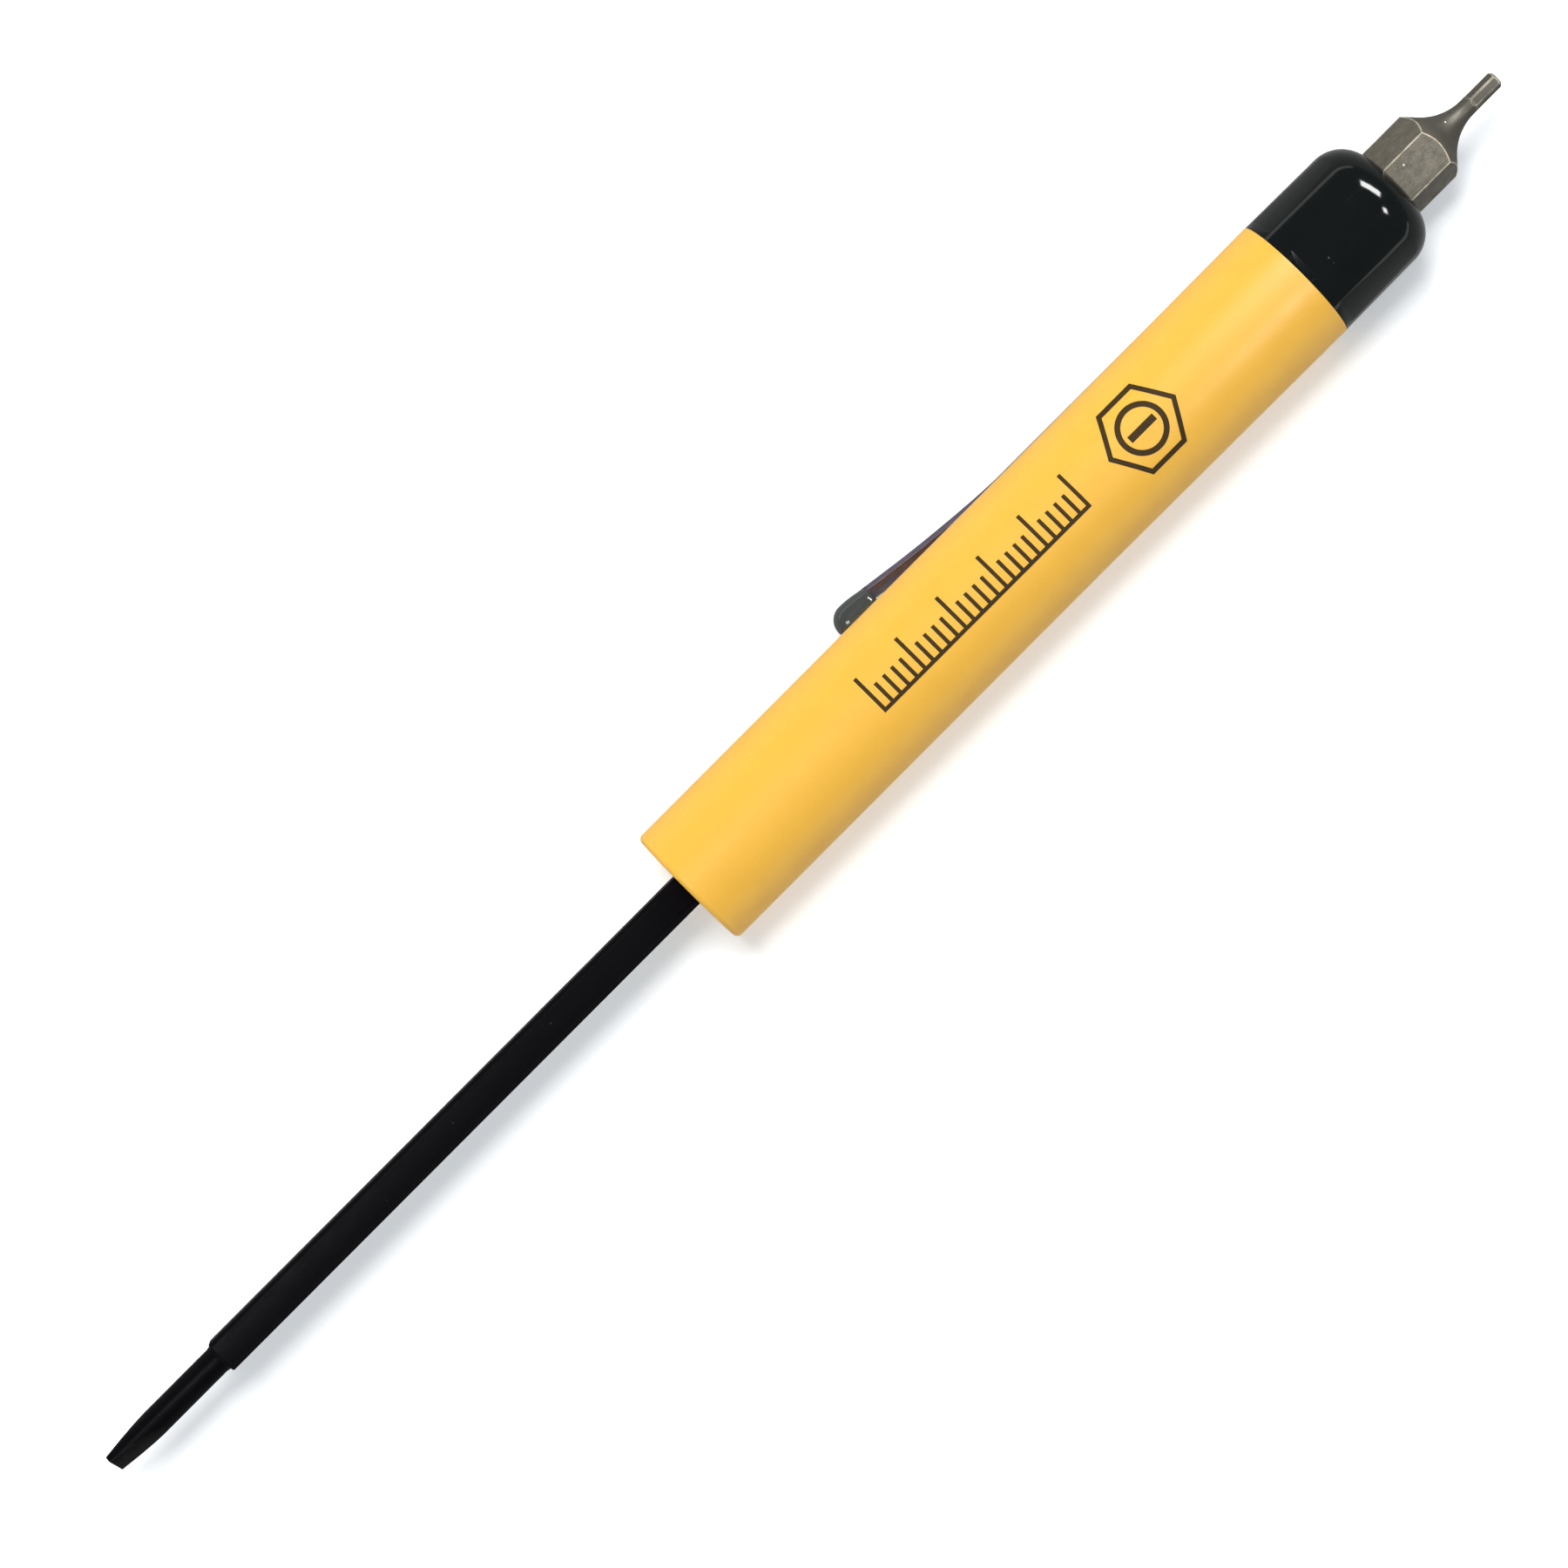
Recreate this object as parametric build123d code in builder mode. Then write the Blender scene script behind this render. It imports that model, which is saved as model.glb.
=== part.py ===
from build123d import *
from math import cos, radians, sin, tan
import os

# Pocket screwdriver: a reversible blade in a plastic barrel, a spring pocket clip, and a
# fluted cap that holds a quarter inch hex bit.
# Millimetres. The tool lies on its side: the blade points to -X, the cap and the bit to +X,
# and +Z is up. The origin is on the axis, at the end of the blade's slotted tip.
# A roll is an angle about +X by the right-hand rule, measured from +Z.

# ---------------------------------------------------------------- driving dimensions
BARREL_LENGTH = 75.55
BARREL_RADIUS = 6.18
BARREL_END_RADIUS = 6.32
BARREL_SWELL_LENGTH = 29.0  # stretch over which the barrel widens to its open end
BARREL_BORE_RADIUS = 4.9
NOSE_ROUND = 0.55
NOSE_WALL = 3.0
NOSE_HOLE_RADIUS = 3.1
PRESS_GAP = 0.03  # radial room left between pieces that are pressed together
SLIDE_GAP = 0.06  # room on each side of a piece that slides

BLADE_EXPOSED = 71.25
SHANK_WIDTH = 3.2
SHANK_CHAMFER = 0.38
SHANK_ROLL = 4.0
SHOULDER_CHAMFER = 0.18
ROD_RADIUS = 1.3
ROD_LENGTH = 13.3
ROD_NECK = 0.5
ROD_FLARE = 0.1
SHANK_GRIP = 14.0  # length of the square shank held inside the handle
SLOT_ROLL = 60.0
SLOT_TIP_THICKNESS = 0.62
SLOT_GRIND_LENGTH = 6.3
CROSS_TIP_RADIUS = 0.45
CROSS_CONE_LENGTH = 1.9
CROSS_FLUTE_LENGTH = 3.6
CROSS_FLUTE_FOOT = 0.3
CROSS_CUT_REACH = 2.0

GUIDE_STOP = 2.0
GUIDE_RECESS = 0.3
GUIDE_WINDOW_END_ROOM = 0.2
GUIDE_WINDOW_SIDE_ROOM = 0.1
SPRING_WIDTH = 1.4
SPRING_THICKNESS = 0.2
SPRING_LENGTH = 8.4

CAP_LENGTH = 11.8
CAP_BASE_RADIUS = 6.3
CAP_SHOULDER_RADIUS = 6.22
CAP_DOME_RADIUS = 3.3
CAP_SPIGOT_LENGTH = 6.5
CAP_LIP = 1.4
FLUTE_COUNT = 6
FLUTE_ROLL = -2.0
FLUTE_HALF_ANGLE = 17.5
FLUTE_START = 1.2  # distance from the barrel's end to the foot of each flute
FLUTE_RAMP = 0.85

HEX_ACROSS_FLATS = 6.35
HEX_ROLL = 10.0
BIT_LENGTH = 25.0
BIT_EXPOSED = 13.1
BIT_HEX_EXPOSED = 4.6
BIT_TAIL_CHAMFER = 0.5
BIT_NOTCH_START = 6.0
BIT_NOTCH_LENGTH = 1.6
BIT_NOTCH_RADIUS = 3.38
NECK_RADIUS = 5.1
NECK_ANGLE = 46.4
KEY_RADIUS = 0.83
KEY_ACROSS_FLATS = 1.5
KEY_FLAT_LENGTH = 3.3
KEY_RUN_OUT = 0.3
KEY_CHAMFER = 0.2
SOCKET_RADIUS = 4.3
SOCKET_FLOOR = 0.9
MAGNET_RADIUS = 3.15
MAGNET_THICKNESS = 3.2
MAGNET_CHAMFER = 0.2

CLIP_ROLL = -125.4
CLIP_WIDTH = 2.4
CLIP_THICKNESS = 0.5
CLIP_STAND_OFF = 0.06  # room between the flat of the clip and the barrel's end
CLIP_LENGTH = 50.2  # from the barrel's end to the end of the bead
CLIP_FLAT_LENGTH = 29.3  # stretch that lies on the barrel before the arm rises
CLIP_RISE_LENGTH = 8.5  # further stretch to the middle of the rise
CLIP_RISE_MIDDLE = 0.62
CLIP_RISE_END = 2.0
CLIP_END_SLOPE = 0.18
CLIP_BEAD_RADIUS = 1.62
CLIP_BEAD_LAP = 3.5  # how far the arm's end stands back from the end of the bead
BEAD_TAIL = 1.0
BEAD_NECK_SHARE = 0.72
COLLAR_LENGTH = 4.2
COLLAR_BORE_RADIUS = 5.3
NOTCH_DEPTH = 0.8
NOTCH_WIDTH = 2.6
TAB_GAP = 0.2
TAB_SINK = 0.1  # how far the tab reaches into the collar
ARM_ROOT_GAP = 0.4  # from the tab's inner face to the root of the arm

# ---------------------------------------------------------------- places along the axis
BLADE_TIP_X = 0.0
NOSE_X = BLADE_TIP_X + BLADE_EXPOSED
CAP_X = NOSE_X + BARREL_LENGTH
CAP_END_X = CAP_X + CAP_LENGTH
OUTER_SHOULDER_X = BLADE_TIP_X + ROD_LENGTH
INNER_SHOULDER_X = NOSE_X + SHANK_GRIP
BLADE_END_X = INNER_SHOULDER_X + ROD_LENGTH
BIT_TIP_X = CAP_END_X + BIT_EXPOSED
BIT_TAIL_X = BIT_TIP_X - BIT_LENGTH
SOCKET_MOUTH_X = CAP_END_X - CAP_LIP
MAGNET_TOP_X = BIT_TAIL_X - SLIDE_GAP
SOCKET_FLOOR_X = MAGNET_TOP_X - MAGNET_THICKNESS - PRESS_GAP
SOCKET_END_X = SOCKET_FLOOR_X - SOCKET_FLOOR
TAB_END_X = CAP_X - TAB_GAP
TAB_START_X = TAB_END_X - CLIP_THICKNESS
ARM_ROOT_X = TAB_START_X - ARM_ROOT_GAP
CLIP_LIFT_X = CAP_X - CLIP_FLAT_LENGTH
CLIP_BEAD_END_X = CAP_X - CLIP_LENGTH
CLIP_ARM_END_X = CLIP_BEAD_END_X + CLIP_BEAD_LAP
ARM_INNER = BARREL_END_RADIUS + CLIP_STAND_OFF
ARM_OUTER = ARM_INNER + CLIP_THICKNESS
TAB_FOOT = COLLAR_BORE_RADIUS - 2 * PRESS_GAP - TAB_SINK
HEX_CORNER = HEX_ACROSS_FLATS / 2 / cos(radians(30))
HEX_CLEAR = HEX_ACROSS_FLATS + 2 * SLIDE_GAP


def outward(roll):
    """Unit vector square to the handle's axis at this roll."""
    return Vector(0, -sin(radians(roll)), cos(radians(roll)))


def side_plane(roll):
    """Plane that holds the handle's axis: local x is +X and local y points outward at this roll."""
    return Plane(origin=(0, 0, 0), x_dir=(1, 0, 0), z_dir=Vector(1, 0, 0).cross(outward(roll)))


def cross_plane(x, roll):
    """Plane square to the handle's axis at x, facing +X: local y points outward at this roll."""
    return Plane(origin=(x, 0, 0), x_dir=outward(roll).cross(Vector(1, 0, 0)), z_dir=(1, 0, 0))


# ---------------------------------------------------------------- barrel
with BuildPart() as barrel:
    with BuildSketch(Plane.XZ):
        with BuildLine():
            Polyline(
                (NOSE_X, NOSE_HOLE_RADIUS),
                (NOSE_X, BARREL_RADIUS),
                (CAP_X - BARREL_SWELL_LENGTH, BARREL_RADIUS),
                (CAP_X, BARREL_END_RADIUS),
                (CAP_X, COLLAR_BORE_RADIUS),
                (TAB_END_X - COLLAR_LENGTH, COLLAR_BORE_RADIUS),
                (TAB_END_X - COLLAR_LENGTH, BARREL_BORE_RADIUS),
                (NOSE_X + NOSE_WALL, BARREL_BORE_RADIUS),
                (NOSE_X + NOSE_WALL, NOSE_HOLE_RADIUS),
                close=True,
            )
        make_face()
    revolve(axis=Axis.X)
    nose_rim = edges().filter_by(GeomType.CIRCLE).group_by(Axis.X)[0].sort_by(SortBy.RADIUS)[-1]
    fillet(nose_rim, NOSE_ROUND)
    # Notch in the end of the wall, where the clip comes out.
    with BuildSketch(side_plane(CLIP_ROLL)):
        with Locations((CAP_X - NOTCH_DEPTH / 2, BARREL_RADIUS)):
            Rectangle(NOTCH_DEPTH, 2 * (BARREL_RADIUS - BARREL_BORE_RADIUS + SLIDE_GAP))
    extrude(amount=NOTCH_WIDTH / 2, both=True, mode=Mode.SUBTRACT)

# ---------------------------------------------------------------- blade
with BuildPart() as blade:
    with BuildSketch(cross_plane(OUTER_SHOULDER_X, SHANK_ROLL)):
        Rectangle(SHANK_WIDTH, SHANK_WIDTH)
        chamfer(vertices(), SHANK_CHAMFER)
    extrude(amount=INNER_SHOULDER_X - OUTER_SHOULDER_X)
    shoulders = faces().filter_by(Plane.YZ)
    chamfer(shoulders.edges(), SHOULDER_CHAMFER)
    # Round rods at both ends, each with a small flared neck against its shoulder.
    with BuildSketch(Plane.XZ):
        with BuildLine():
            Polyline(
                (BLADE_TIP_X, 0),
                (BLADE_TIP_X, ROD_RADIUS),
                (OUTER_SHOULDER_X - ROD_NECK, ROD_RADIUS),
                (OUTER_SHOULDER_X, ROD_RADIUS + ROD_FLARE),
                (INNER_SHOULDER_X, ROD_RADIUS + ROD_FLARE),
                (INNER_SHOULDER_X + ROD_NECK, ROD_RADIUS),
                (BLADE_END_X - CROSS_CONE_LENGTH, ROD_RADIUS),
                (BLADE_END_X, CROSS_TIP_RADIUS),
                (BLADE_END_X, 0),
                close=True,
            )
        make_face()
    revolve(axis=Axis.X)
    # Slotted tip: one flat ground on each side.
    for side in (0, 180):
        with BuildSketch(side_plane(SLOT_ROLL + side)):
            with BuildLine():
                grind_end = BLADE_TIP_X + SLOT_GRIND_LENGTH
                tip_half = SLOT_TIP_THICKNESS / 2
                Polyline(
                    (BLADE_TIP_X, tip_half),
                    (grind_end, ROD_RADIUS),
                    (grind_end, 2 * ROD_RADIUS),
                    (BLADE_TIP_X - 1, 2 * ROD_RADIUS),
                    (BLADE_TIP_X - 1, tip_half),
                    close=True,
                )
            make_face()
        extrude(amount=2 * ROD_RADIUS, both=True, mode=Mode.SUBTRACT)
    # Cross tip: four V flutes that deepen towards the point.
    for quarter in range(4):
        out = outward(SHANK_ROLL + 45 + 90 * quarter)
        flute_foot = Vector(BLADE_END_X, 0, 0) + out * CROSS_FLUTE_FOOT
        flute_top = Vector(BLADE_END_X - CROSS_FLUTE_LENGTH, 0, 0) + out * ROD_RADIUS
        along = (flute_foot - flute_top).normalized()
        with BuildSketch(Plane(origin=flute_top, x_dir=out.cross(along), z_dir=along)):
            with BuildLine():
                Polyline((0, 0), (CROSS_CUT_REACH, CROSS_CUT_REACH), (-CROSS_CUT_REACH, CROSS_CUT_REACH), close=True)
            make_face()
        extrude(amount=2 * CROSS_FLUTE_LENGTH, both=True, mode=Mode.SUBTRACT)

# ---------------------------------------------------------------- blade guide
with BuildPart() as blade_guide:
    guide_end = INNER_SHOULDER_X + GUIDE_STOP
    with BuildSketch(Plane.XZ):
        with BuildLine():
            Polyline(
                (NOSE_X + GUIDE_RECESS, 0),
                (NOSE_X + GUIDE_RECESS, NOSE_HOLE_RADIUS - PRESS_GAP),
                (NOSE_X + NOSE_WALL + PRESS_GAP, NOSE_HOLE_RADIUS - PRESS_GAP),
                (NOSE_X + NOSE_WALL + PRESS_GAP, BARREL_BORE_RADIUS - PRESS_GAP),
                (guide_end, BARREL_BORE_RADIUS - PRESS_GAP),
                (guide_end, 0),
                close=True,
            )
        make_face()
    revolve(axis=Axis.X)
    with BuildSketch(cross_plane(NOSE_X, SHANK_ROLL)):
        Rectangle(SHANK_WIDTH + 2 * SLIDE_GAP, SHANK_WIDTH + 2 * SLIDE_GAP)
        chamfer(vertices(), SHANK_CHAMFER)
    extrude(amount=SHANK_GRIP + SLIDE_GAP, mode=Mode.SUBTRACT)
    # The stop: a round hole that the tip passes and the square shoulder doesn't.
    with BuildSketch(Plane.YZ.offset(INNER_SHOULDER_X)):
        Circle(ROD_RADIUS + ROD_FLARE + SLIDE_GAP)
    extrude(amount=2 * GUIDE_STOP, mode=Mode.SUBTRACT)
    # Window for the spring, from the shank's flat out to the barrel's wall.
    spring_x = (NOSE_X + NOSE_WALL + INNER_SHOULDER_X) / 2
    with BuildSketch(side_plane(SHANK_ROLL)):
        with Locations((spring_x, BARREL_BORE_RADIUS)):
            Rectangle(SPRING_LENGTH + 2 * GUIDE_WINDOW_END_ROOM, 2 * (BARREL_BORE_RADIUS - SHANK_WIDTH / 2))
    extrude(amount=SPRING_WIDTH / 2 + GUIDE_WINDOW_SIDE_ROOM, both=True, mode=Mode.SUBTRACT)

# ---------------------------------------------------------------- blade spring
with BuildPart() as blade_spring:
    low = SHANK_WIDTH / 2 + SLIDE_GAP
    high = BARREL_BORE_RADIUS - 4 * SPRING_THICKNESS
    left = spring_x - SPRING_LENGTH / 2
    right = spring_x + SPRING_LENGTH / 2
    with BuildSketch(side_plane(SHANK_ROLL)):
        with BuildLine():
            ThreePointArc((left, high), (spring_x, low), (right, high))
            Line((right, high), (right, high + SPRING_THICKNESS))
            ThreePointArc(
                (right, high + SPRING_THICKNESS),
                (spring_x, low + SPRING_THICKNESS),
                (left, high + SPRING_THICKNESS),
            )
            Line((left, high + SPRING_THICKNESS), (left, high))
        make_face()
    extrude(amount=SPRING_WIDTH / 2, both=True)

# ---------------------------------------------------------------- cap
with BuildPart() as cap:
    dome_start_x = CAP_END_X - CAP_DOME_RADIUS
    dome_foot = CAP_SHOULDER_RADIUS - CAP_DOME_RADIUS
    with BuildSketch(Plane.XZ):
        with BuildLine():
            Polyline(
                (CAP_END_X, dome_foot),
                (CAP_END_X, 0),
                (SOCKET_MOUTH_X, 0),
                (SOCKET_MOUTH_X, SOCKET_RADIUS + PRESS_GAP),
                (CAP_X - CAP_SPIGOT_LENGTH, SOCKET_RADIUS + PRESS_GAP),
                (CAP_X - CAP_SPIGOT_LENGTH, BARREL_BORE_RADIUS - PRESS_GAP),
                (CAP_X, BARREL_BORE_RADIUS - PRESS_GAP),
                (CAP_X, CAP_BASE_RADIUS),
                (dome_start_x, CAP_SHOULDER_RADIUS),
            )
            JernArc((dome_start_x, CAP_SHOULDER_RADIUS), (1, 0), CAP_DOME_RADIUS, -90)
        make_face()
    revolve(axis=Axis.X)
    # Six flat flutes, each with a short ramp at its foot.
    flute_depth = CAP_BASE_RADIUS * cos(radians(FLUTE_HALF_ANGLE))
    for number in range(FLUTE_COUNT):
        with BuildSketch(side_plane(FLUTE_ROLL + number * 360 / FLUTE_COUNT)):
            with BuildLine():
                Polyline(
                    (CAP_X + FLUTE_START - FLUTE_RAMP, CAP_BASE_RADIUS),
                    (CAP_X + FLUTE_START, flute_depth),
                    (CAP_END_X + 1, flute_depth),
                    (CAP_END_X + 1, BARREL_RADIUS + 1),
                    (CAP_X + FLUTE_START - FLUTE_RAMP, BARREL_RADIUS + 1),
                    close=True,
                )
            make_face()
        extrude(amount=BARREL_RADIUS / 2, both=True, mode=Mode.SUBTRACT)
    with BuildSketch(cross_plane(SOCKET_MOUTH_X, HEX_ROLL)):
        RegularPolygon(HEX_CLEAR / 2 + SLIDE_GAP, 6, major_radius=False)
    extrude(amount=2 * CAP_LIP, mode=Mode.SUBTRACT)

# ---------------------------------------------------------------- bit socket
with BuildPart() as bit_socket:
    with BuildSketch(Plane.YZ.offset(SOCKET_END_X)):
        Circle(SOCKET_RADIUS)
    extrude(amount=SOCKET_MOUTH_X - PRESS_GAP - SOCKET_END_X)
    with BuildSketch(Plane.YZ.offset(SOCKET_FLOOR_X)):
        Circle(MAGNET_RADIUS + PRESS_GAP)
    extrude(amount=SOCKET_MOUTH_X - SOCKET_FLOOR_X, mode=Mode.SUBTRACT)
    with BuildSketch(cross_plane(MAGNET_TOP_X, HEX_ROLL)):
        RegularPolygon(HEX_CLEAR / 2, 6, major_radius=False)
    extrude(amount=SOCKET_MOUTH_X - MAGNET_TOP_X, mode=Mode.SUBTRACT)

# ---------------------------------------------------------------- socket magnet
with BuildPart() as socket_magnet:
    with BuildSketch(Plane.YZ.offset(MAGNET_TOP_X - MAGNET_THICKNESS)):
        Circle(MAGNET_RADIUS)
    extrude(amount=MAGNET_THICKNESS)
    chamfer(edges().filter_by(GeomType.CIRCLE), MAGNET_CHAMFER)

# ---------------------------------------------------------------- hex bit
with BuildPart() as hex_bit:
    with BuildSketch(cross_plane(BIT_TAIL_X, HEX_ROLL)):
        RegularPolygon(HEX_ACROSS_FLATS / 2, 6, major_radius=False)
    extrude(amount=BIT_LENGTH)
    # The turned outline: tail chamfer, retaining notch, hollow neck and key.
    notch_x = BIT_TAIL_X + BIT_NOTCH_START
    notch_slope = HEX_CORNER - BIT_NOTCH_RADIUS
    with BuildSketch(Plane.XZ):
        with BuildLine():
            neck_rise = NECK_RADIUS * (1 - cos(radians(NECK_ANGLE)))
            cone_foot = KEY_RADIUS + neck_rise
            cone_length = (HEX_CORNER - cone_foot) / tan(radians(NECK_ANGLE))
            neck_end_x = CAP_END_X + BIT_HEX_EXPOSED + cone_length + NECK_RADIUS * sin(radians(NECK_ANGLE))
            neck = JernArc((neck_end_x, KEY_RADIUS), (-1, 0), NECK_RADIUS, -NECK_ANGLE)
            Polyline(
                neck @ 1,
                (CAP_END_X + BIT_HEX_EXPOSED, HEX_CORNER),
                (notch_x + BIT_NOTCH_LENGTH, HEX_CORNER),
                (notch_x + BIT_NOTCH_LENGTH - notch_slope, BIT_NOTCH_RADIUS),
                (notch_x + notch_slope, BIT_NOTCH_RADIUS),
                (notch_x, HEX_CORNER),
                (BIT_TAIL_X + BIT_TAIL_CHAMFER, HEX_CORNER),
                (BIT_TAIL_X, HEX_CORNER - BIT_TAIL_CHAMFER),
                (BIT_TAIL_X, 0),
                (BIT_TIP_X, 0),
                (BIT_TIP_X, KEY_RADIUS - KEY_CHAMFER),
                (BIT_TIP_X - KEY_CHAMFER, KEY_RADIUS),
                (neck_end_x, KEY_RADIUS),
            )
        make_face()
    revolve(axis=Axis.X, mode=Mode.INTERSECT)
    # Six flats ground on the key, each with a short curved run-out.
    key_half = KEY_ACROSS_FLATS / 2
    flat_x = BIT_TIP_X - KEY_FLAT_LENGTH
    for number in range(6):
        with BuildSketch(side_plane(HEX_ROLL + 60 * number)):
            with BuildLine():
                Polyline(
                    (flat_x, KEY_RADIUS),
                    (flat_x + KEY_RUN_OUT, key_half),
                    (BIT_TIP_X + 1, key_half),
                    (BIT_TIP_X + 1, 2 * KEY_RADIUS),
                    (flat_x, 2 * KEY_RADIUS),
                    close=True,
                )
            make_face()
        extrude(amount=KEY_RADIUS, both=True, mode=Mode.SUBTRACT)

# ---------------------------------------------------------------- clip collar
with BuildPart() as clip_collar:
    with BuildSketch(Plane.YZ.offset(TAB_END_X - COLLAR_LENGTH + PRESS_GAP)):
        Circle(COLLAR_BORE_RADIUS - PRESS_GAP)
        Circle(BARREL_BORE_RADIUS, mode=Mode.SUBTRACT)
    extrude(amount=COLLAR_LENGTH - PRESS_GAP)
    # The tab that passes out through the notch and turns along the barrel.
    with BuildSketch(side_plane(CLIP_ROLL)):
        with BuildLine():
            Polyline(
                (TAB_START_X, TAB_FOOT),
                (TAB_START_X, ARM_INNER),
                (ARM_ROOT_X, ARM_INNER),
                (ARM_ROOT_X, ARM_OUTER),
                (TAB_END_X - CLIP_THICKNESS, ARM_OUTER),
            )
            JernArc((TAB_END_X - CLIP_THICKNESS, ARM_OUTER), (1, 0), CLIP_THICKNESS, -90)
            Polyline(
                (TAB_END_X, ARM_OUTER - CLIP_THICKNESS),
                (TAB_END_X, TAB_FOOT),
                (TAB_START_X, TAB_FOOT),
            )
        make_face()
    extrude(amount=CLIP_WIDTH / 2, both=True)


# ---------------------------------------------------------------- clip arm
def arm_line(height):
    """One long edge of the arm in the clip's plane, at this height over the barrel's axis."""
    Line((ARM_ROOT_X, height), (CLIP_LIFT_X, height))
    Spline(
        (CLIP_LIFT_X, height),
        (CLIP_LIFT_X - CLIP_RISE_LENGTH, height + CLIP_RISE_MIDDLE),
        (CLIP_ARM_END_X, height + CLIP_RISE_END),
        tangents=((-1, 0), (-1, CLIP_END_SLOPE)),
    )


with BuildPart() as clip_arm:
    with BuildSketch(side_plane(CLIP_ROLL)):
        with BuildLine():
            arm_line(ARM_INNER)
            arm_line(ARM_OUTER)
            Line((ARM_ROOT_X, ARM_INNER), (ARM_ROOT_X, ARM_OUTER))
            Line(
                (CLIP_ARM_END_X, ARM_INNER + CLIP_RISE_END),
                (CLIP_ARM_END_X, ARM_OUTER + CLIP_RISE_END),
            )
        make_face()
    extrude(amount=CLIP_WIDTH / 2, both=True)
    # The bead: a blunt drop with its axis parallel to the barrel.
    bead_height = ARM_INNER + CLIP_BEAD_RADIUS
    bead_axis = Axis((0, 0, 0) + outward(CLIP_ROLL) * bead_height, (1, 0, 0))
    bead_centre_x = CLIP_BEAD_END_X + CLIP_BEAD_RADIUS
    with BuildSketch(side_plane(CLIP_ROLL)):
        with BuildLine():
            bead_tail = (CLIP_ARM_END_X + BEAD_TAIL, bead_height)
            JernArc((bead_centre_x, bead_height + CLIP_BEAD_RADIUS), (-1, 0), CLIP_BEAD_RADIUS, 90)
            Spline(
                (bead_centre_x, bead_height + CLIP_BEAD_RADIUS),
                (CLIP_ARM_END_X, bead_height + BEAD_NECK_SHARE * CLIP_BEAD_RADIUS),
                bead_tail,
                tangents=((1, 0), (0, -1)),
            )
            Line(bead_tail, (CLIP_BEAD_END_X, bead_height))
        make_face()
    revolve(axis=bead_axis)

# ---------------------------------------------------------------- export
pieces = {
    "barrel": barrel,
    "blade": blade,
    "blade_guide": blade_guide,
    "blade_spring": blade_spring,
    "cap": cap,
    "bit_socket": bit_socket,
    "socket_magnet": socket_magnet,
    "hex_bit": hex_bit,
    "clip_collar": clip_collar,
    "clip_arm": clip_arm,
}
os.makedirs("parts", exist_ok=True)
for piece_name, piece in pieces.items():
    piece.part.label = piece_name
    export_step(piece.part, f"parts/{piece_name}.step")
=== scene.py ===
"""Looks of a pocket screwdriver: a reversible blade in a yellow barrel, a clip, and a fluted cap with a hex bit.

Everything is in metres in the CAD model's frame: +X runs along the tool from the slotted tip to the bit,
+Z is up as the tool lies on a table, and a roll is an angle about +X measured from +Z.
The sizes in the classes are in millimetres and the angles in degrees.
"""

from __future__ import annotations

import logging
import math
from contextlib import contextmanager
from dataclasses import dataclass
from enum import Enum
from typing import Callable, Iterator, Sequence

import bmesh
import bpy
from bpy.types import Material, Node, NodeOutputs, NodeSocket, NodeTree, Object
from mathutils import Matrix, Vector

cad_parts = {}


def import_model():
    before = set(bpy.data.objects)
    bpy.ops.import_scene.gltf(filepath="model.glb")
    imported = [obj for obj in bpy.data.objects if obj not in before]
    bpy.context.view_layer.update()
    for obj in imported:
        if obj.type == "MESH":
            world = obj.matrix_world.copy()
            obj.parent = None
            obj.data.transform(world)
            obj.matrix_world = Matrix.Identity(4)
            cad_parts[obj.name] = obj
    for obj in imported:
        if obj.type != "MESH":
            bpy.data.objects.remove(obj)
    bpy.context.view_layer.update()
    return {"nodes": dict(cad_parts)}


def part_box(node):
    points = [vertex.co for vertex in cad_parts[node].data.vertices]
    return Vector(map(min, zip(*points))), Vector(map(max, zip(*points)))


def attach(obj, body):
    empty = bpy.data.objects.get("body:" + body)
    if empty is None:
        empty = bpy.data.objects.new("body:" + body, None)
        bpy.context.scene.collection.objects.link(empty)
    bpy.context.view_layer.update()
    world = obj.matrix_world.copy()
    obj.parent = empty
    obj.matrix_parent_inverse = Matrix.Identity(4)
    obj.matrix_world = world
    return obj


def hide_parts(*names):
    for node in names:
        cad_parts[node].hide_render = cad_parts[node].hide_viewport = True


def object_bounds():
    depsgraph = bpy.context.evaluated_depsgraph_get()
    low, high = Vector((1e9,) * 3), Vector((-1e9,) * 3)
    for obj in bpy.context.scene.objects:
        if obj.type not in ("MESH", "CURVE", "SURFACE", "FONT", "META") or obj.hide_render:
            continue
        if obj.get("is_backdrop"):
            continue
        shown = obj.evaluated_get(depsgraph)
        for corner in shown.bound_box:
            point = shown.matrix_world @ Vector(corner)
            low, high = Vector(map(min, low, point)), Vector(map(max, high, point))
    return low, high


MM = 0.001
SAME_PLACE = 0.001 * MM  # vertices nearer than this are one vertex
CLIP_ROLL = -125.4  # where the clip stands round the barrel
CLIP_STRIP = 2.4  # width of the clip's strip
BARREL_BORE = 4.9  # radius of the hole along the barrel
BARREL_END = 6.32  # radius of the barrel at its open end
HEX_ROLL = 10.0  # roll of one flat of the bit
HEX_FLATS = 6.35  # the quarter inch drive, across its flats
WHITE = (1.0, 1.0, 1.0)
LOG = logging.getLogger("screwdriver")
Colour = tuple[float, float, float]
Point = tuple[float, float]


class Body(str, Enum):
    """The bodies that the pieces ride on."""

    HANDLE = "handle"
    BLADE = "blade"
    BIT = "bit"
    CLIP = "clip"


class Seen(Enum):
    """How a light reaches the tool."""

    LIT = "lit"
    MIRRORED = "mirrored"


class Cut(str, Enum):
    """What a boolean does with its second shape."""

    TAKE = "DIFFERENCE"
    JOIN = "UNION"
    KEEP = "INTERSECT"


# ------------------------------------------------------------------ places and directions


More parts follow.
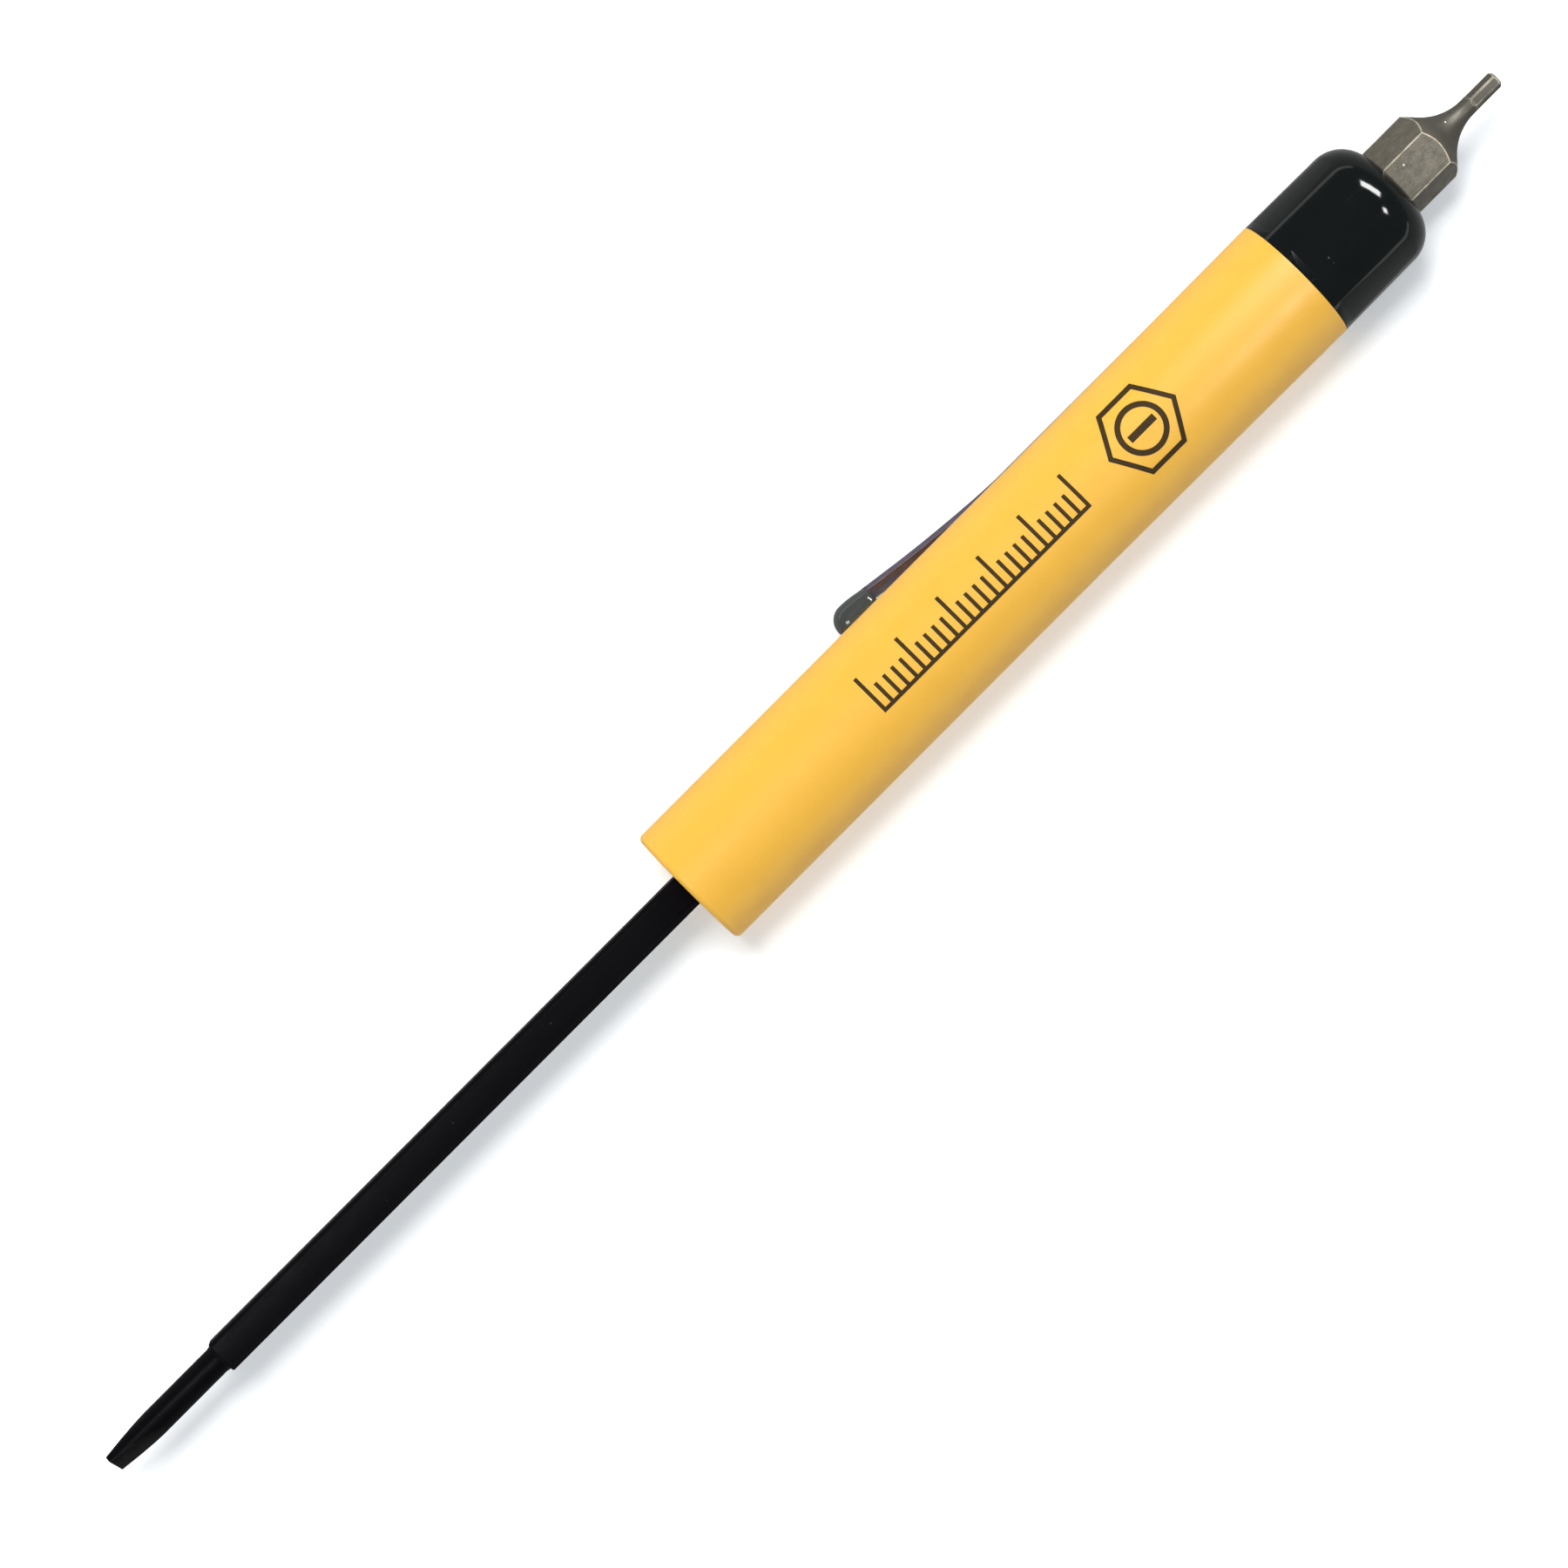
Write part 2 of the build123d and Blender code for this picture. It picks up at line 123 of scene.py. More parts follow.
def outward(roll: float) -> Vector:
    """The direction that points out of the axis at a roll, as a unit vector."""
    return Vector((0.0, -math.sin(math.radians(roll)), math.cos(math.radians(roll))))


def beside(roll: float) -> Vector:
    """The direction square to the axis, a quarter turn on from outward(roll)."""
    return outward(roll + 90.0)


def at(x: float, height: float, roll: float, across: float = 0.0) -> Vector:
    """A point given along, out of and across the tool's axis.

    Args:
        x: place along the axis, in metres.
        height: distance out of the axis at this roll.
        roll: angle about +X from +Z, in degrees.
        across: distance sideways, along beside(roll).

    Returns:
        The point in the tool's frame.
    """
    return Vector((x, 0.0, 0.0)) + outward(roll) * height + beside(roll) * across


def arc(centre: Point, radius: float, start: float, end: float, steps: int) -> list[Point]:
    """Points along an arc in the plane of an outline.

    Args:
        centre: middle of the arc.
        radius: its radius.
        start: first angle in degrees, from the outline's first axis.
        end: last angle in degrees.
        steps: number of straight steps.

    Returns:
        The arc's points, both ends included.
    """
    angles = [math.radians(start + (end - start) * i / steps) for i in range(steps + 1)]
    return [(centre[0] + radius * math.cos(a), centre[1] + radius * math.sin(a)) for a in angles]


def srgb(red: float, green: float, blue: float) -> Colour:
    """Linear colour from screen values.

    Args:
        red: 0 to 255.
        green: 0 to 255.
        blue: 0 to 255.

    Returns:
        The same colour as linear values from 0 to 1.
    """

    def linear(value: float) -> float:
        """One channel made linear."""
        v = value / 255.0
        return v / 12.92 if v <= 0.04045 else ((v + 0.055) / 1.055) ** 2.4

    return linear(red), linear(green), linear(blue)


# ------------------------------------------------------------------ modelling by hand


def deselect_all() -> None:
    """Leave nothing selected and nothing active."""
    bpy.ops.object.select_all(action="DESELECT")
    bpy.context.view_layer.objects.active = None


def take_up(obj: Object) -> None:
    """Make this the one selected and active object."""
    deselect_all()
    obj.select_set(True)
    bpy.context.view_layer.objects.active = obj


@contextmanager
def editing(obj: Object, mode: str = "VERT") -> Iterator[None]:
    """Hold one object open in edit mode.

    Args:
        obj: the object to edit.
        mode: VERT, EDGE or FACE selection.
    """
    take_up(obj)
    bpy.ops.object.mode_set(mode="EDIT")
    bpy.ops.mesh.select_mode(type=mode)
    yield
    bpy.ops.object.mode_set(mode="OBJECT")


def on_all(operator: Callable[..., object], **settings: object) -> None:
    """Select the whole mesh that is open in edit mode and run one operator on it."""
    bpy.ops.mesh.select_all(action="SELECT")
    operator(**settings)


def pick(obj: Object, kind: str, test: Callable[..., bool]) -> None:
    """Select part of the mesh that is open in edit mode.

    Args:
        obj: the object in edit mode.
        kind: edges or faces.
        test: takes one edge or face, and says whether it is selected.
    """
    mesh = bmesh.from_edit_mesh(obj.data)
    chosen = [item for item in getattr(mesh, kind) if test(item)]
    for item in getattr(mesh, kind):
        item.select_set(False)
    for item in chosen:
        item.select_set(True)
    bmesh.update_edit_mesh(obj.data)


def shift(obj: Object, path: Vector) -> None:
    """Move a whole mesh and leave its object at the origin."""
    with editing(obj):
        on_all(bpy.ops.transform.translate, value=path)


def chain(name: str, points: Sequence[Vector]) -> Object:
    """A line of edges, drawn by extruding one vertex from point to point.

    Args:
        name: name of the new object.
        points: the corners, in order.

    Returns:
        The new object, at the origin.
    """
    deselect_all()
    bpy.ops.mesh.primitive_plane_add(size=MM)
    obj = bpy.context.object
    obj.name = name
    with editing(obj):
        on_all(bpy.ops.mesh.merge, type="CENTER")
        bpy.ops.transform.translate(value=points[0])
        for start, end in zip(points, points[1:]):
            bpy.ops.mesh.extrude_vertices_move(TRANSFORM_OT_translate={"value": end - start})
    return obj


def turned(name: str, outline: Sequence[Point], steps: int = 96, closed: bool = False) -> Object:
    """A solid of revolution about the tool's axis, made by spinning its outline.

    Args:
        name: name of the new object.
        outline: (x, radius) corners in metres, in order.
        steps: number of steps in the full turn.
        closed: True for a ring, whose outline comes back to its first corner.

    Returns:
        The new object, closed and facing outwards.
    """
    corners = [Vector((x, 0.0, r)) for x, r in outline]
    obj = chain(name, corners + corners[:1] if closed else corners)
    with editing(obj):
        on_all(bpy.ops.mesh.remove_doubles, threshold=SAME_PLACE)
        on_all(bpy.ops.mesh.spin, steps=steps, angle=math.tau, center=(0, 0, 0), axis=(1, 0, 0))
        on_all(bpy.ops.mesh.remove_doubles, threshold=SAME_PLACE)
        on_all(bpy.ops.mesh.normals_make_consistent, inside=False)
    return obj


def extruded(name: str, ring: Sequence[Vector], path: Vector) -> Object:
    """A prism, made by filling a ring of corners and extruding the face.

    Args:
        name: name of the new object.
        ring: the corners of the flat face, in order.
        path: how far and which way the face is extruded.

    Returns:
        The new closed object.
    """
    obj = chain(name, ring)
    with editing(obj):
        on_all(bpy.ops.mesh.edge_face_add)
        on_all(bpy.ops.mesh.extrude_region_move, TRANSFORM_OT_translate={"value": path})
        on_all(bpy.ops.mesh.normals_make_consistent, inside=False)
    return obj


def wedge(name: str, side: Sequence[Point], roll: float, width: float) -> Object:
    """A prism whose side view is drawn in the plane that holds the axis at one roll.

    Args:
        name: name of the new object.
        side: (x, height) corners of the side view.
        roll: roll of that plane, in degrees.
        width: full width square to the plane.

    Returns:
        The new closed object.
    """
    ring = [at(x, h, roll, -width / 2) for x, h in side]
    return extruded(name, ring, beside(roll) * width)


def hexagon(name: str, start: float, end: float, flats: float, roll: float) -> Object:
    """A hexagonal prism along the tool's axis.

    Args:
        name: name of the new object.
        start: its first end along the axis, in metres.
        end: its last end.
        flats: its size across flats, in millimetres.
        roll: roll of one of its flats, in degrees.

    Returns:
        The new object.
    """
    corner = flats / 2 / math.cos(math.radians(30)) * MM
    ring = [at(start, corner, roll + 30 + 60 * i) for i in range(6)]
    return extruded(name, ring, Vector((end - start, 0, 0)))


def apply_modifier(obj: Object, kind: str, **settings: object) -> None:
    """Add one modifier, set it and apply it.

    Args:
        obj: the object to change.
        kind: the modifier's type.
        settings: its properties.
    """
    take_up(obj)
    modifier = obj.modifiers.new(kind.lower(), kind)
    for key, value in settings.items():
        setattr(modifier, key, value)
    bpy.ops.object.modifier_apply(modifier=modifier.name)


def combine(obj: Object, other: Object, cut: Cut) -> None:
    """Change a shape by another one, which is used up."""
    apply_modifier(obj, "BOOLEAN", operation=cut.value, solver="EXACT", object=other)
    bpy.data.objects.remove(other)


def finish_edges(obj: Object, width: float, sharp: float, soft: float, segments: int = 2) -> Object:
    """Clean a mesh after its booleans, round its sharp edges and shade it.

    Args:
        obj: the shape, which is changed.
        width: width of the rounding in millimetres.
        sharp: edges that turn by more than this many degrees are rounded.
        soft: edges that turn by less than this many degrees are shaded smooth.
        segments: steps across the rounding.

    Returns:
        The same object.
    """
    near = 0.002 * MM
    with editing(obj):
        on_all(bpy.ops.mesh.remove_doubles, threshold=near)
        on_all(bpy.ops.mesh.dissolve_limited, angle_limit=math.radians(0.2))
        on_all(bpy.ops.mesh.dissolve_degenerate, threshold=near)
        on_all(bpy.ops.mesh.normals_make_consistent, inside=False)
    apply_modifier(
        obj,
        "BEVEL",
        width=width * MM,
        segments=segments,
        limit_method="ANGLE",
        angle_limit=math.radians(sharp),
        use_clamp_overlap=True,
    )
    smooth(obj, soft)
    return obj


def smooth(obj: Object, angle: float) -> None:
    """Shade smooth, except over edges that turn by more than an angle in degrees."""
    take_up(obj)
    bpy.ops.object.shade_smooth_by_angle(angle=math.radians(angle))


def settle(obj: Object, body: Body, slot: str, material: Material, *nodes: str) -> None:
    """Dress a finished piece and put it on its body.

    Args:
        obj: the finished piece.
        body: what carries it.
        slot: the name of the material slot meant for its finish; not used.
        material: its material.
        nodes: the CAD nodes that it stands for.
    """
    obj.data.name = obj.name
    obj.data.materials.clear()
    obj.data.materials.append(material)
    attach(obj, body.value)
    if nodes:
        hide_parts(*nodes)
    LOG.info("%s: %d faces on %s", obj.name, len(obj.data.polygons), body.value)


# ------------------------------------------------------------------ materials


class Graph:
    """A node tree with short ways to add and join nodes."""

    def __init__(self, tree: NodeTree) -> None:
        """Start on an empty tree."""
        self.tree = tree
        tree.nodes.clear()

    def add(self, kind: str, *first: object, settings: dict[str, object] | None = None, **named: object) -> Node:
        """Add a node.

        Args:
            kind: its type name, without the ShaderNode in front.
            first: values or output sockets for its first inputs, in order.
            settings: its properties.
            named: the same for its inputs by name, with _ for a space in the name.

        Returns:
            The new node.
        """
        node = self.tree.nodes.new("ShaderNode" + kind)
        for key, value in (settings or {}).items():
            setattr(node, key, value)
        for index, value in enumerate(first):
            self.feed(node, index, value)
        for key, value in named.items():
            self.feed(node, key.replace("_", " "), value)
        return node

    def feed(self, node: Node, name: str | int, value: object) -> None:
        """Give one input a value, or join an output to it.

        Args:
            node: the node that has the input.
            name: the input's name or number.
            value: a plain value, or the output socket to join.
        """
        socket = node.inputs[name]
        if isinstance(value, NodeSocket):
            self.tree.links.new(value, socket)
        else:
            socket.default_value = (*value, 1.0) if socket.type == "RGBA" else value

    def math(self, operation: str, first: object, second: object) -> NodeSocket:
        """A Math node on two values or sockets, and its result."""
        return self.add("Math", first, second, settings={"operation": operation}).outputs[0]

    def mix(self, factor: object, first: object, second: object) -> NodeSocket:
        """A Mix node on two colours.

        Args:
            factor: 0 for the first colour to 1 for the second.
            first: the first colour, as values or a socket.
            second: the second one.

        Returns:
            The blended colour.
        """
        node = self.add("Mix", factor, settings={"data_type": "RGBA"})
        self.feed(node, 6, first)
        self.feed(node, 7, second)
        return node.outputs[2]

    def span(self, value: object, low: object, high: object, to_low: float = 0.0, to_high: float = 1.0) -> NodeSocket:
        """A value moved from one range to another, clamped, and its result."""
        ends = {"From Min": low, "From Max": high, "To Min": to_low, "To Max": to_high}
        return self.add("MapRange", settings={"clamp": True}, Value=value, **ends).outputs[0]

    def noise(self, where: object, scale: object, detail: float) -> NodeSocket:
        """A noise texture at coordinates, and its value."""
        return self.add("TexNoise", Vector=where, Scale=scale, Detail=detail).outputs["Fac"]

    def coordinates(self, along: float = 1.0) -> NodeSocket:
        """The piece's own coordinates in millimetres.

        Args:
            along: scale along the tool.

        Returns:
            The coordinates.
        """
        where = self.add("TexCoord").outputs["Object"]
        mapping = self.add("Mapping", settings={"vector_type": "POINT"}, Vector=where)
        mapping.inputs["Scale"].default_value = (along / MM, 1 / MM, 1 / MM)
        return mapping.outputs[0]

    def group(self, tree: NodeTree, **named: object) -> NodeSocket:
        """Place a shared effect with its inputs, and its result."""
        return self.add("Group", settings={"node_tree": tree}, **named).outputs[0]

    def bump(self, shader: Node, height: object, relief: float) -> None:
        """Give a surface its relief, in millimetres, from a height."""
        bump = self.add("Bump", Height=height, Distance=relief * MM, Strength=1.0)
        self.feed(shader, "Normal", bump.outputs[0])


class Effects:
    """Node groups that several finishes share. Each is made once."""

    def __init__(self) -> None:
        """Make the shared groups."""
        self.edge_wear = self._edge_wear()
        self.grain = self._grain()
        self.specks = self._specks()

    @staticmethod
    def _new(name: str, output: str, **numbers: float) -> tuple[Graph, NodeOutputs, NodeSocket]:
        """An empty group that takes coordinates and some numbers.

        Args:
            name: the group's name.
            output: the name of its result.
            numbers: the first value of each number that it takes.

        Returns:
            Its graph, the sockets of what it takes, and the socket of its result.
        """
        tree = bpy.data.node_groups.new(name, "ShaderNodeTree")
        graph, kind = Graph(tree), "NodeSocketFloat"
        tree.interface.new_socket("Vector", in_out="INPUT", socket_type="NodeSocketVector")
        for key, value in numbers.items():
            tree.interface.new_socket(key, in_out="INPUT", socket_type=kind).default_value = value
        tree.interface.new_socket(output, in_out="OUTPUT", socket_type=kind)
        return graph, tree.nodes.new("NodeGroupInput").outputs, tree.nodes.new("NodeGroupOutput").inputs[output]

    def _edge_wear(self) -> NodeTree:
        """A mask that is 1 on outer edges, broken up by noise."""
        graph, given, result = self._new("edge_wear", "Mask", Radius=0.00015, Low=0.02, High=0.12, Patch=1.0)
        rounded = graph.add("Bevel", settings={"samples": 6}, Radius=given["Radius"]).outputs[0]
        true = graph.add("NewGeometry").outputs["Normal"]
        turn = graph.add("VectorMath", rounded, true, settings={"operation": "DOT_PRODUCT"}).outputs["Value"]
        wide = graph.span(graph.math("SUBTRACT", 1.0, turn), given["Low"], given["High"])
        patch = graph.noise(given["Vector"], given["Patch"], 4.0)
        broken = graph.span(patch, 0.35, 0.6, 0.35, 1.0)
        graph.tree.links.new(graph.math("MULTIPLY", wide, broken), result)
        return graph.tree

    def _grain(self) -> NodeTree:
        """Two sizes of noise, as one value from 0 to 1."""
        graph, given, result = self._new("grain", "Value", Fine=8.0, Coarse=1.0, Share=0.5)
        fine = graph.noise(given["Vector"], given["Fine"], 3.0)
        coarse = graph.noise(given["Vector"], given["Coarse"], 2.0)
        blend = graph.add("Mix", given["Share"], settings={"data_type": "FLOAT"})
        graph.feed(blend, 2, fine)
        graph.feed(blend, 3, coarse)
        graph.tree.links.new(blend.outputs[0], result)
        return graph.tree

    def _specks(self) -> NodeTree:
        """A mask of few small round specks of dust or nicks."""
        graph, given, result = self._new("specks", "Mask", Scale=0.7, Size=0.08, Share=0.12)
        cells = graph.add("TexVoronoi", settings={"feature": "F1"}, Vector=given["Vector"], Scale=given["Scale"])
        core = graph.math("MULTIPLY", given["Size"], 0.4)
        near = graph.span(cells.outputs["Distance"], given["Size"], core)
        chance = graph.add("SeparateColor", Color=cells.outputs["Color"]).outputs[0]
        some = graph.math("LESS_THAN", chance, given["Share"])
        graph.tree.links.new(graph.math("MULTIPLY", near, some), result)
        return graph.tree


def new_material(name: str) -> tuple[Material, Graph, Node]:
    """An empty material with its surface shader.

    Args:
        name: the material's name.

    Returns:
        The material, its graph and its Principled BSDF.
    """
    material = bpy.data.materials.new(name)
    material.use_nodes = True
    graph = Graph(material.node_tree)
    output = graph.add("OutputMaterial")
    shader = graph.add("BsdfPrincipled")
    graph.tree.links.new(shader.outputs[0], output.inputs["Surface"])
    return material, graph, shader


@dataclass(frozen=True)
class Plastic:
    """Moulded plastic with a faint orange peel, mottled tone, and some dust."""

    name: str
    tone: Colour
    deep: Colour
    roughness: float
    spread: float
    peel: float
    dust: Colour
    dust_share: float
    specular: float = 0.5

    def material(self, effects: Effects) -> Material:
        """The finish as a material.

        Args:
            effects: the shared node groups.

        Returns:
            The new material.
        """
        material, graph, shader = new_material(self.name)
        where, rough = graph.coordinates(), self.roughness
        grain = graph.group(effects.grain, Vector=where, Fine=6.0, Coarse=0.45, Share=0.55)
        specks = graph.group(effects.specks, Vector=where, Scale=0.75, Size=0.09, Share=self.dust_share)
        base = graph.mix(graph.span(grain, 0.35, 0.65), self.tone, self.deep)
        graph.feed(shader, "Base Color", graph.mix(specks, base, self.dust))
        graph.feed(shader, "Roughness", graph.span(grain, 0.3, 0.7, rough - self.spread, rough + self.spread))
        graph.bump(shader, graph.math("ADD", grain, specks), self.peel)
        shader.inputs["Specular IOR Level"].default_value = self.specular
        return material


@dataclass(frozen=True)
class PaintedReflectionZone:
    """A stretch along the tool, in millimetres, over which a finish passes into a darker tone: a painted reflection,
    standing in for the dark surroundings that a polished part mirrors.
    """

    start: float
    end: float
    tone: Colour


@dataclass(frozen=True)
class Metal:
    """Metal or a dark metal coating, with drawn grain along the tool, worn edges and small nicks, and on some a stretch
    painted darker as a painted reflection.
    """

    name: str
    tone: Colour
    deep: Colour
    worn: Colour
    roughness: float
    spread: float
    relief: float
    metallic: float = 1.0
    wear_radius: float = 0.12
    wear_low: float = 0.02
    wear_high: float = 0.2
    nick_share: float = 0.1
    stretch: float = 0.25
    specular: float = 0.5
    painted_reflection: PaintedReflectionZone | None = None

    def material(self, effects: Effects) -> Material:
        """The finish as a material.

        Args:
            effects: the shared node groups.

        Returns:
            The new material.
        """
        material, graph, shader = new_material(self.name)
        where, even, rough = graph.coordinates(self.stretch), graph.coordinates(), self.roughness
        grain = graph.group(effects.grain, Vector=where, Fine=9.0, Coarse=1.6, Share=0.45)
        edge = {"Radius": self.wear_radius * MM, "Low": self.wear_low, "High": self.wear_high}
        wear = graph.group(effects.edge_wear, Vector=even, Patch=1.3, **edge)
        nicks = graph.group(effects.specks, Vector=even, Scale=0.9, Size=0.1, Share=self.nick_share)
        base = graph.mix(graph.span(grain, 0.35, 0.65), self.deep, self.tone)
        # Painted reflection: within its stretch the base colour is blended towards a darker tone, which stands in for
        # the dark surroundings that a polished surface mirrors.
        if self.painted_reflection:
            along = graph.add("SeparateXYZ", Vector=even).outputs[0]
            within = graph.span(along, self.painted_reflection.start, self.painted_reflection.end)
            painted_reflection_share = graph.math("MULTIPLY", within, graph.span(grain, 0.3, 0.6, 0.75, 1.0))
            base = graph.mix(painted_reflection_share, base, self.painted_reflection.tone)
        graph.feed(shader, "Base Color", graph.mix(graph.math("MAXIMUM", wear, nicks), base, self.worn))
        graph.feed(shader, "Roughness", graph.span(grain, 0.3, 0.7, rough + self.spread, rough - self.spread))
        graph.bump(shader, graph.math("SUBTRACT", grain, nicks), self.relief)
        shader.inputs["Metallic"].default_value = self.metallic
        shader.inputs["Specular IOR Level"].default_value = self.specular
        return material


YELLOW_PLASTIC = Plastic(
    name="yellow_plastic",
    tone=(0.84, 0.465, 0.050),
    deep=(0.81, 0.44, 0.043),
    roughness=0.4,
    spread=0.04,
    peel=0.003,
    dust=(0.9, 0.8, 0.5),
    dust_share=0.0,
)
GLOSS_BLACK = Plastic(
    name="black_plastic",
    tone=srgb(11, 15, 15),
    deep=srgb(8, 11, 11),
    roughness=0.1,
    spread=0.02,
    peel=0.002,
    dust=srgb(74, 78, 78),
    dust_share=0.07,
    specular=0.3,
)
GUIDE_NYLON = Plastic(
    name="guide_nylon",
    tone=srgb(44, 44, 46),
    deep=srgb(34, 34, 37),
    roughness=0.5,
    spread=0.08,
    peel=0.004,
    dust=srgb(90, 90, 90),
    dust_share=0.05,
)
INK = Plastic(
    name="print_ink",
    tone=srgb(64, 48, 20),
    deep=srgb(56, 42, 18),
    roughness=0.5,
    spread=0.05,
    peel=0.002,
    dust=srgb(120, 100, 60),
    dust_share=0.03,
    specular=0.15,
)
BLACK_OXIDE = Metal(
    name="black_oxide",
    tone=srgb(9, 7, 10),
    deep=srgb(4, 3, 6),
    worn=srgb(62, 44, 42),
    roughness=0.42,
    spread=0.08,
    relief=0.005,
    metallic=0.0,
    wear_radius=0.2,
    wear_low=0.01,
    wear_high=0.12,
    nick_share=0.12,
    stretch=0.3,
    specular=0.06,
)
BIT_STEEL = Metal(
    name="bit_steel",
    tone=srgb(108, 101, 87),
    deep=srgb(78, 74, 64),
    worn=srgb(240, 228, 204),
    roughness=0.48,
    spread=0.08,
    relief=0.008,
    metallic=0.32,
    wear_radius=0.22,
    wear_low=0.004,
    wear_high=0.035,
    nick_share=0.12,
    stretch=0.7,
    # Painted reflection: from the neck to the key tip the bit is painted darker, standing in for the dark room that its
    # polished neck mirrors.
    painted_reflection=PaintedReflectionZone(start=163.2, end=164.4, tone=srgb(74, 71, 61)),
)
CLIP_CHROME = Metal(
    name="clip_chrome",
    tone=srgb(106, 96, 117),
    deep=srgb(90, 84, 95),
    worn=srgb(215, 215, 210),
    roughness=0.1,
    spread=0.03,
    relief=0.002,
    metallic=0.35,
    wear_radius=0.1,
    wear_low=0.03,
    stretch=0.4,
    # Painted reflection: the bead is painted a darker grey-green, standing in for the dark room that the chrome drop
    # mirrors.
    painted_reflection=PaintedReflectionZone(start=101.3, end=101.0, tone=srgb(72, 77, 73)),
)
SPRING_STEEL = Metal(
    name="spring_steel",
    tone=srgb(150, 150, 155),
    deep=srgb(120, 120, 126),
    worn=srgb(220, 220, 220),
    roughness=0.3,
    spread=0.06,
    relief=0.003,
)
SOCKET_STEEL = Metal(
    name="socket_steel",
    tone=srgb(170, 168, 160),
    deep=srgb(140, 138, 132),
    worn=srgb(225, 222, 215),
    roughness=0.35,
    spread=0.06,
    relief=0.004,
)
MAGNET_NICKEL = Metal(
    name="magnet_nickel",
    tone=srgb(205, 200, 185),
    deep=srgb(190, 184, 168),
    worn=srgb(235, 232, 222),
    roughness=0.18,
    spread=0.05,
    relief=0.002,
)
PLASTICS = (YELLOW_PLASTIC, GLOSS_BLACK, GUIDE_NYLON, INK)
METALS = (BLACK_OXIDE, BIT_STEEL, CLIP_CHROME, SPRING_STEEL, SOCKET_STEEL, MAGNET_NICKEL)
HIDDEN = {
    "blade_guide": GUIDE_NYLON,
    "blade_spring": SPRING_STEEL,
    "bit_socket": SOCKET_STEEL,
    "socket_magnet": MAGNET_NICKEL,
}


# ------------------------------------------------------------------ the pieces


@dataclass
class Barrel:
    """The yellow handle tube, rounded at the blade's end and open at the cap's end."""

    nose_radius: float = 6.18
    swell: float = 29.0
    collar_bore: float = 5.3
    collar_depth: float = 4.4
    nose_wall: float = 3.0
    nose_hole: float = 3.1
    nose_round: float = 0.55
    rim_round: float = 0.1
    notch_depth: float = 0.8
    notch_width: float = 2.6
    notch_foot: float = 4.6

    def build(self) -> Object:
        """Spin the tube and cut the clip's notch.

        Returns:
            The finished shell.
        """
        low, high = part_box("barrel")
        nose, end = low.x, high.x
        radius, end_radius = self.nose_radius * MM, BARREL_END * MM
        bore, collar, depth = BARREL_BORE * MM, self.collar_bore * MM, self.collar_depth * MM
        wall, hole = self.nose_wall * MM, self.nose_hole * MM
        nose_round, rim = self.nose_round * MM, self.rim_round * MM
        outline: list[Point] = [(nose, hole)]
        outline += arc((nose + nose_round, radius - nose_round), nose_round, 180, 90, 8)
        outline += [(end - self.swell * MM, radius)]
        outline += arc((end - rim, end_radius - rim), rim, 90, 0, 3)
        outline += [(end, collar), (end - depth, collar), (end - depth, bore), (nose + wall, bore), (nose + wall, hole)]
        shell = turned("barrel_shell", outline, 128, closed=True)
        notch, foot, top = self.notch_depth * MM, self.notch_foot * MM, end_radius + MM
        side = [(end - notch, foot), (end + notch, foot), (end + notch, top), (end - notch, top)]
        combine(shell, wedge("notch_cutter", side, CLIP_ROLL, self.notch_width * MM), Cut.TAKE)
        return finish_edges(shell, width=0.06, sharp=40.0, soft=35.0)


